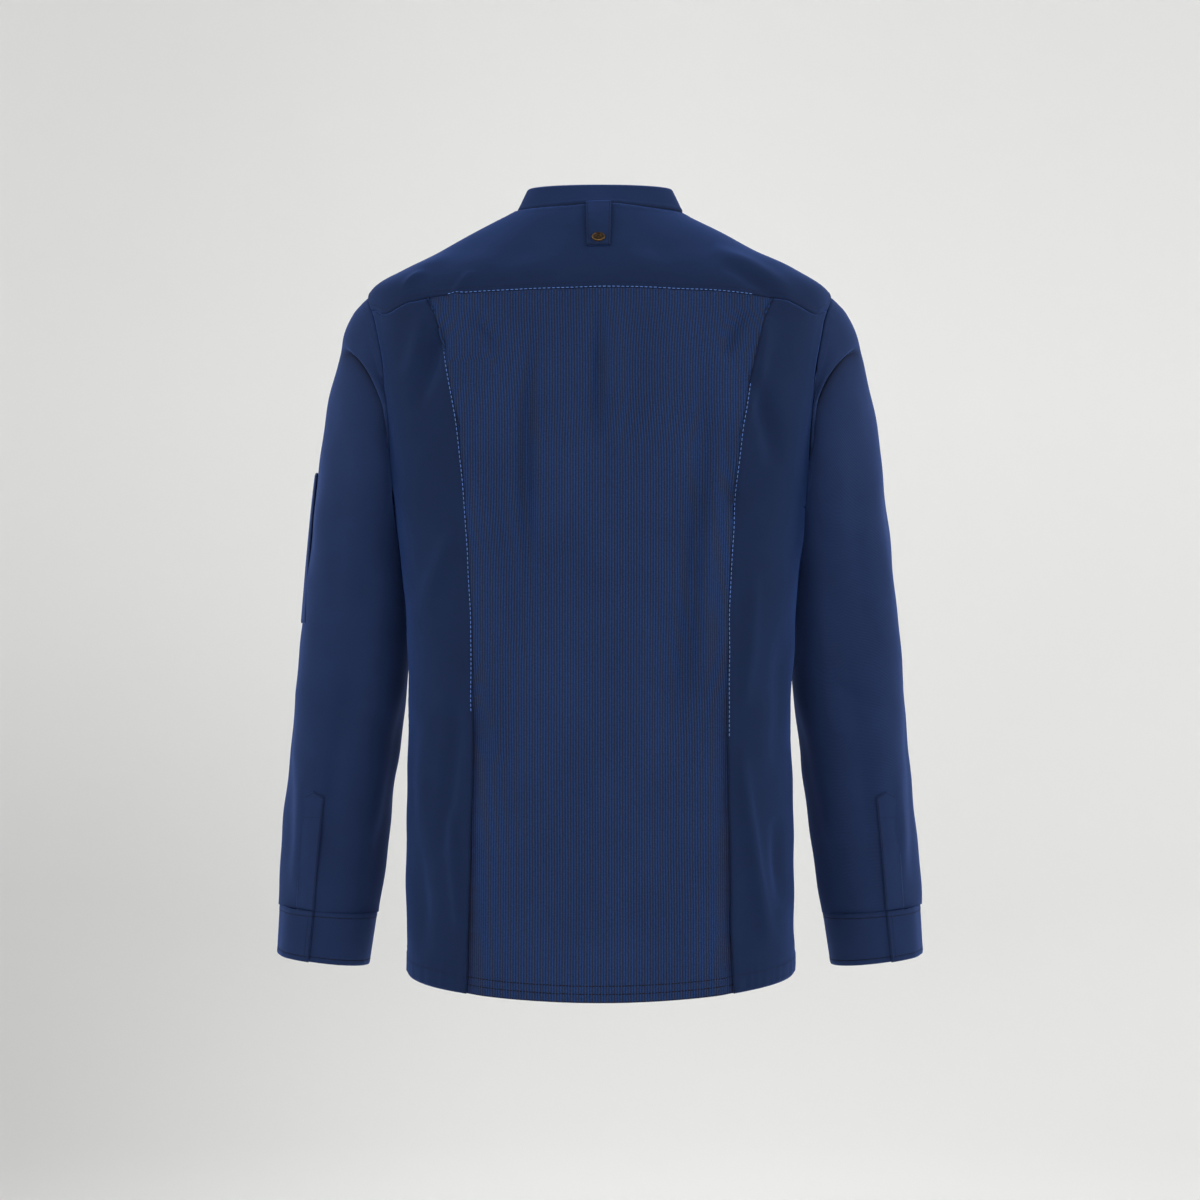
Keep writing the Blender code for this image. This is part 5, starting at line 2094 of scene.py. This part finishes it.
@dataclass
class Collar:
    """The band collar, its left end lapped over its right end in front."""

    form: BodyForm
    twill: bpy.types.Material
    top: tuple = (69.5, -29, 23.8, 10.5, 24.0, -74, -42, 2.3, 0)
    wall: float = 2.2 * MM
    over_edge: float = -20 * MM
    under_edge: float = 27 * MM
    over_lift: float = 2.9 * MM
    ramp: tuple[float, float] = (18 * MM, 27 * MM)
    foot_lift: float = 0.7
    cloth: Cloth | None = None

    def band(self) -> Cloth:
        """The band: straight up from the neckline to its top ring, lapped in front.

        Returns:
            The cloth.
        """
        zero = np.zeros(1)
        over = float(self.form.front_angle_at(zero, self.over_edge)[0])
        under = float(self.form.front_angle_at(zero, -self.under_edge)[0])
        angle, height = np.meshgrid(np.linspace(-under, over, 220), np.linspace(1, 0, 18))
        ring = BodyRing(*read_rows((self.form.rings[0], self.top), height))
        plain = self.form.ring_points(ring, angle)
        normal = surface_normals(plain, False)
        start, end = self.ramp
        rise = 1 - smooth((plain[..., 0] - start) / (end - start))
        push = self.over_lift * rise * (angle > BACK_SIDE)
        points = plain + normal * push[..., None]
        lifted = unit(plain[-2] - plain[-1]) * self.foot_lift * push[-1][:, None]
        points += lifted * (1 - height[..., None]) ** 6
        edge = SeamFinish(roll_width=1.2, rows=(), ridge=0.0, pucker=0.06)
        foot = SeamFinish(rows=(2.0,), ridge=0.3, ridge_width=4, pucker=0.14, inset=-2.0)
        return Cloth(
            "collar_twill", points, self.wall, centre_column=110, seed=41,
            edges={Edge.TOP: edge, Edge.FOOT: foot, Edge.FIRST: FOLDED, Edge.LAST: FOLDED},
        )

    def build(self) -> None:
        """Builds the band and puts it in its solid's place."""
        self.cloth = self.band()
        self.cloth.sew_edges()
        place_cloth(self.cloth, self.twill, ("collar",))

    def stitch(self, navy: Stitches) -> None:
        """Sews the collar's foot and its front ends.

        Args:
            navy: the tone-on-tone thread.
        """
        navy.sew(*self.cloth.line(Edge.FOOT, 2.0 * MM))
        navy.sew(*self.cloth.line(Edge.LAST, 2.0 * MM))
        navy.sew(*self.cloth.line(Edge.FIRST, 2.0 * MM))


@dataclass
class Studs:
    """The press studs: one on the loop, one on the collar, seven down the front."""

    form: BodyForm
    collar: Collar
    brass: bpy.types.Material
    radius: float = 6.2 * MM
    height: float = 2.4 * MM
    seat: float = 0.45 * MM
    cloth: float = 2.1 * MM
    profile: tuple = (
        (0.0, 0.66), (0.10, 0.67), (0.20, 0.66), (0.26, 0.60), (0.30, 0.58), (0.36, 0.62),
        (0.40, 0.74), (0.48, 0.80), (0.60, 0.80), (0.70, 0.79), (0.77, 0.86), (0.84, 0.99),
        (0.90, 1.0), (0.95, 0.95), (0.99, 0.80), (1.0, 0.6), (0.985, 0.3), (0.96, 0.0), (0.0, 0.0),
    )
    sides: int = 40
    front_studs: int = 7
    front_top: float = -100 * MM
    front_spacing: float = -90 * MM
    tab_x: float = 1.4 * MM
    tab_ring: float = 1.68

    def cap(self, name: str, place: Array, normal: Array) -> None:
        """One cap: its profile carried round its axis, the poles single points.

        Args:
            name: the node that it stands for.
            place: where the axis meets the cloth.
            normal: the axis.
        """
        radius, height = np.array(self.profile).T
        turn = np.linspace(0, 2 * math.pi, self.sides, endpoint=False)
        side = unit(np.cross(normal, [0.3, 0.2, 1.0]))
        other = np.cross(normal, side)
        round_it = np.cos(turn)[:, None] * side + np.sin(turn)[:, None] * other
        rings = (radius[1:-1, None, None] * self.radius) * round_it
        rings = rings + (height[1:-1] * self.height + self.seat)[:, None, None] * normal
        poles = np.array([height[0], height[-1]]) * self.height + self.seat
        points = np.concatenate([rings.reshape(-1, 3), poles[:, None] * normal]) + place
        count = len(radius) - 2
        number, wrapped, quads = quads_round(count, self.sides)
        top = [(count * self.sides, a, b) for a, b in zip(number[0], wrapped[0])]
        foot = [(count * self.sides + 1, b, a) for a, b in zip(number[-1], wrapped[-1])]
        faces = [tuple(int(v) for v in face) for face in quads]
        faces += [tuple(int(v) for v in face) for face in top + foot]
        mesh = bpy.data.meshes.new(f"{name}_cap")
        mesh.from_pydata(points.tolist(), [], faces)
        mesh.shade_smooth()
        mesh.materials.append(self.brass)
        made = new_object(f"{name}_cap", mesh)
        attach(made, "root")
        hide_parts(name)

    def build(self) -> None:
        """Builds every stud where its solid is."""
        form = self.form
        ring, x = np.array(self.tab_ring), np.array(self.tab_x)
        angle = form.angle_at(ring, x)
        normal = form.normal(ring, angle)
        lift = self.cloth + float(form.fold_push(ring, angle))
        self.cap("back_tab_stud", form.plain(ring, angle) + normal * lift, normal)
        rings = np.linspace(0, form.last, 300)
        heights = form.plain(rings, math.pi)[:, 2]
        angle = np.array(math.pi)
        for number in range(self.front_studs):
            height = self.front_top + self.front_spacing * number
            ring = np.interp(-height, -heights, rings)
            normal = form.normal(ring, angle)
            lift = self.cloth + float(form.fold_push(ring, angle))
            place = form.plain(ring, angle) + normal * lift
            self.cap(f"front_stud_{number + 1}", place, normal)
        foot = form.plain(0, math.pi)
        top = form.ring_points(BodyRing(*self.collar.top), np.array(math.pi))
        normal = np.cross(np.array([1.0, 0, 0]), unit(top - foot))
        place = (foot + top) / 2 + normal * self.collar.over_lift
        self.cap("collar_stud", place, normal)
        LOG.info("studs: %d caps", self.front_studs + 2)


# ---------------------------------------------------------------- studio


@dataclass
class Studio:
    """Pale paper all round, soft lamps, and the camera square to the back."""

    floor_z: float = -1.45
    wall_radius: float = 4.6
    curve: float = 1.6
    wall_top: float = 3.2
    camera_place: tuple[float, float, float] = (0.0, 2.7, -0.3695)
    lens: float = 85.26
    aim: tuple[float, float, float] = (0.0, 0.0, -0.35)
    lamps: tuple = (    # name, place, width and height in metres, and watts
        ("left_soft_box", (2.2, 0.3, 1.3), (1.4, 2.0), 28),
        ("right_soft_box", (-2.2, 0.3, 1.4), (1.4, 2.0), 37),
        ("top_soft_box", (0.0, 0.5, 2.2), (2.4, 1.4), 8),
        ("left_back_fill", (1.7, 3.1, -0.1), (1.2, 1.6), 36),
        ("right_back_fill", (-1.4, 3.2, -0.3), (1.2, 1.6), 27),
        ("floor_fill", (0.0, 2.4, -1.35), (2.2, 1.2), 10),
        ("front_fill", (0.0, -3.2, 0.8), (2.6, 1.8), 14),
    )
    air: float = 0.10
    sides: int = 72

    def sweep(self, paper: bpy.types.Material) -> None:
        """The paper: a flat floor that curves up into a round wall.

        A profile of radius and height is carried round the upright axis: straight out,
        a quarter circle up, and straight up.

        Args:
            paper: its material.
        """
        bend = np.linspace(0, math.pi / 2, 14)
        inner = self.wall_radius - self.curve
        radius = np.concatenate(
            [[0.6, 1.4, 2.2], inner + self.curve * np.sin(bend), [self.wall_radius]]
        )
        rise = self.floor_z + self.curve * (1 - np.cos(bend))
        height = np.concatenate([[self.floor_z] * 3, rise, [self.wall_top]])
        turn = np.linspace(0, 2 * math.pi, self.sides, endpoint=False)
        rings = np.stack(
            [radius[:, None] * np.cos(turn), radius[:, None] * np.sin(turn),
             np.broadcast_to(height[:, None], (len(radius), len(turn)))], axis=-1,
        )
        points = np.vstack([rings.reshape(-1, 3), [[0, 0, self.floor_z]]])
        number, wrapped, quads = quads_round(len(radius), self.sides)
        middle = len(points) - 1
        faces = [tuple(int(v) for v in face) for face in quads[:, ::-1]]
        faces += [(middle, int(a), int(b)) for a, b in zip(number[0], wrapped[0])]
        mesh = bpy.data.meshes.new("studio_paper")
        mesh.from_pydata(points.tolist(), [], faces)
        mesh.shade_smooth()
        mesh.materials.append(paper)
        made = new_object("studio_paper", mesh)

    def lamp(self, name: str, place: tuple, aim: tuple, size: tuple, power: float) -> None:
        """A soft box: an area lamp turned so that its face looks at a point.

        Args:
            name: its name.
            place: its middle.
            aim: the point that it faces.
            size: width and height, in metres.
            power: in watts.
        """
        light = bpy.data.lights.new(name, "AREA")
        light.shape, light.size, light.size_y = "RECTANGLE", *size
        light.energy = power
        made = new_object(name, light)
        made.location = place
        ahead = np.array(aim, float) - np.array(place, float)
        flat = float(np.hypot(ahead[0], ahead[1]))
        made.rotation_euler = (
            math.pi / 2 + math.atan2(ahead[2], flat), 0, math.atan2(-ahead[0], ahead[1])
        )

    def build(self, paper: bpy.types.Material) -> None:
        """Sets up the paper, the lamps, the surrounding light and the camera.

        Args:
            paper: the paper's material.
        """
        self.sweep(paper)
        for name, place, size, power in self.lamps:
            self.lamp(name, place, self.aim, size, power)
        world = bpy.data.worlds.new("studio_air")
        bpy.context.scene.world = world
        world.use_nodes = True
        background = world.node_tree.nodes["Background"]
        background.inputs["Color"].default_value = hex_colour("#f2f4f6")
        background.inputs["Strength"].default_value = self.air
        camera = bpy.data.cameras.new("camera")
        camera.sensor_width, camera.lens = 36.0, self.lens
        camera.clip_start, camera.clip_end = 0.05, 40.0
        made = new_object("camera", camera)
        made.location = self.camera_place
        made.rotation_euler = (math.pi / 2, 0, math.pi)
        bpy.context.scene.camera = made
        # Plain sRGB, so that a finish's hex colour is what a white light shows of it.
        bpy.context.scene.view_settings.view_transform = "Standard"


def main() -> None:
    """Builds the jacket round its frame: body, sleeves, collar, studs, stitches."""
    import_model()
    twill, knit = TwillFinish().make(), KnitFinish().make()
    # The same cloth, lighter and with more sheen, for the sleeves: a lit copy, painted light that
    # stands in for the light they get.
    painted_lighter_sleeve_twill = TwillFinish(
        name="navy_polycotton_twill_painted_lighter", colour="#152342", fibre="#1d2e51", nap="#5677c6",
        sheen=0.6,
    ).make()
    brass = BrassFinish().make()
    form, drape = BodyForm(), Drape()
    sleeve_form = SleeveForm(form)
    back = BackBody(form, drape, twill, knit)
    fronts = Fronts(form, drape, twill)
    left = Sleeve(sleeve_form, drape, painted_lighter_sleeve_twill, flip=False, pocket=True)
    right = Sleeve(sleeve_form, drape, painted_lighter_sleeve_twill, flip=True, pocket=False)
    collar = Collar(form, twill)
    for assembly in (back, fronts, left, right, collar, Studs(form, collar, brass)):
        assembly.build()
    pale = Stitches("pale_stitches", pitch=4.2 * MM, length=3.1 * MM)
    navy = Stitches("navy_stitches")
    brown = Stitches("brown_stitches", pitch=3.0 * MM, length=2.65 * MM, width=1.05 * MM)
    back.stitch(pale, navy, brown)
    fronts.stitch(navy)
    left.stitch(navy, brown)
    right.stitch(navy, brown)
    collar.stitch(navy)
    pale.build(ThreadFinish("pale_blue_polyester_thread", "#5a7cbe").make())
    navy.build(ThreadFinish("navy_polyester_thread", "#0b1228").make())
    brown.build(ThreadFinish("brown_polyester_thread", "#060405").make())
    Studio().build(PaperFinish().make())


if __name__ == "__main__":
    logging.basicConfig(level=logging.INFO, format="%(message)s")
    main()
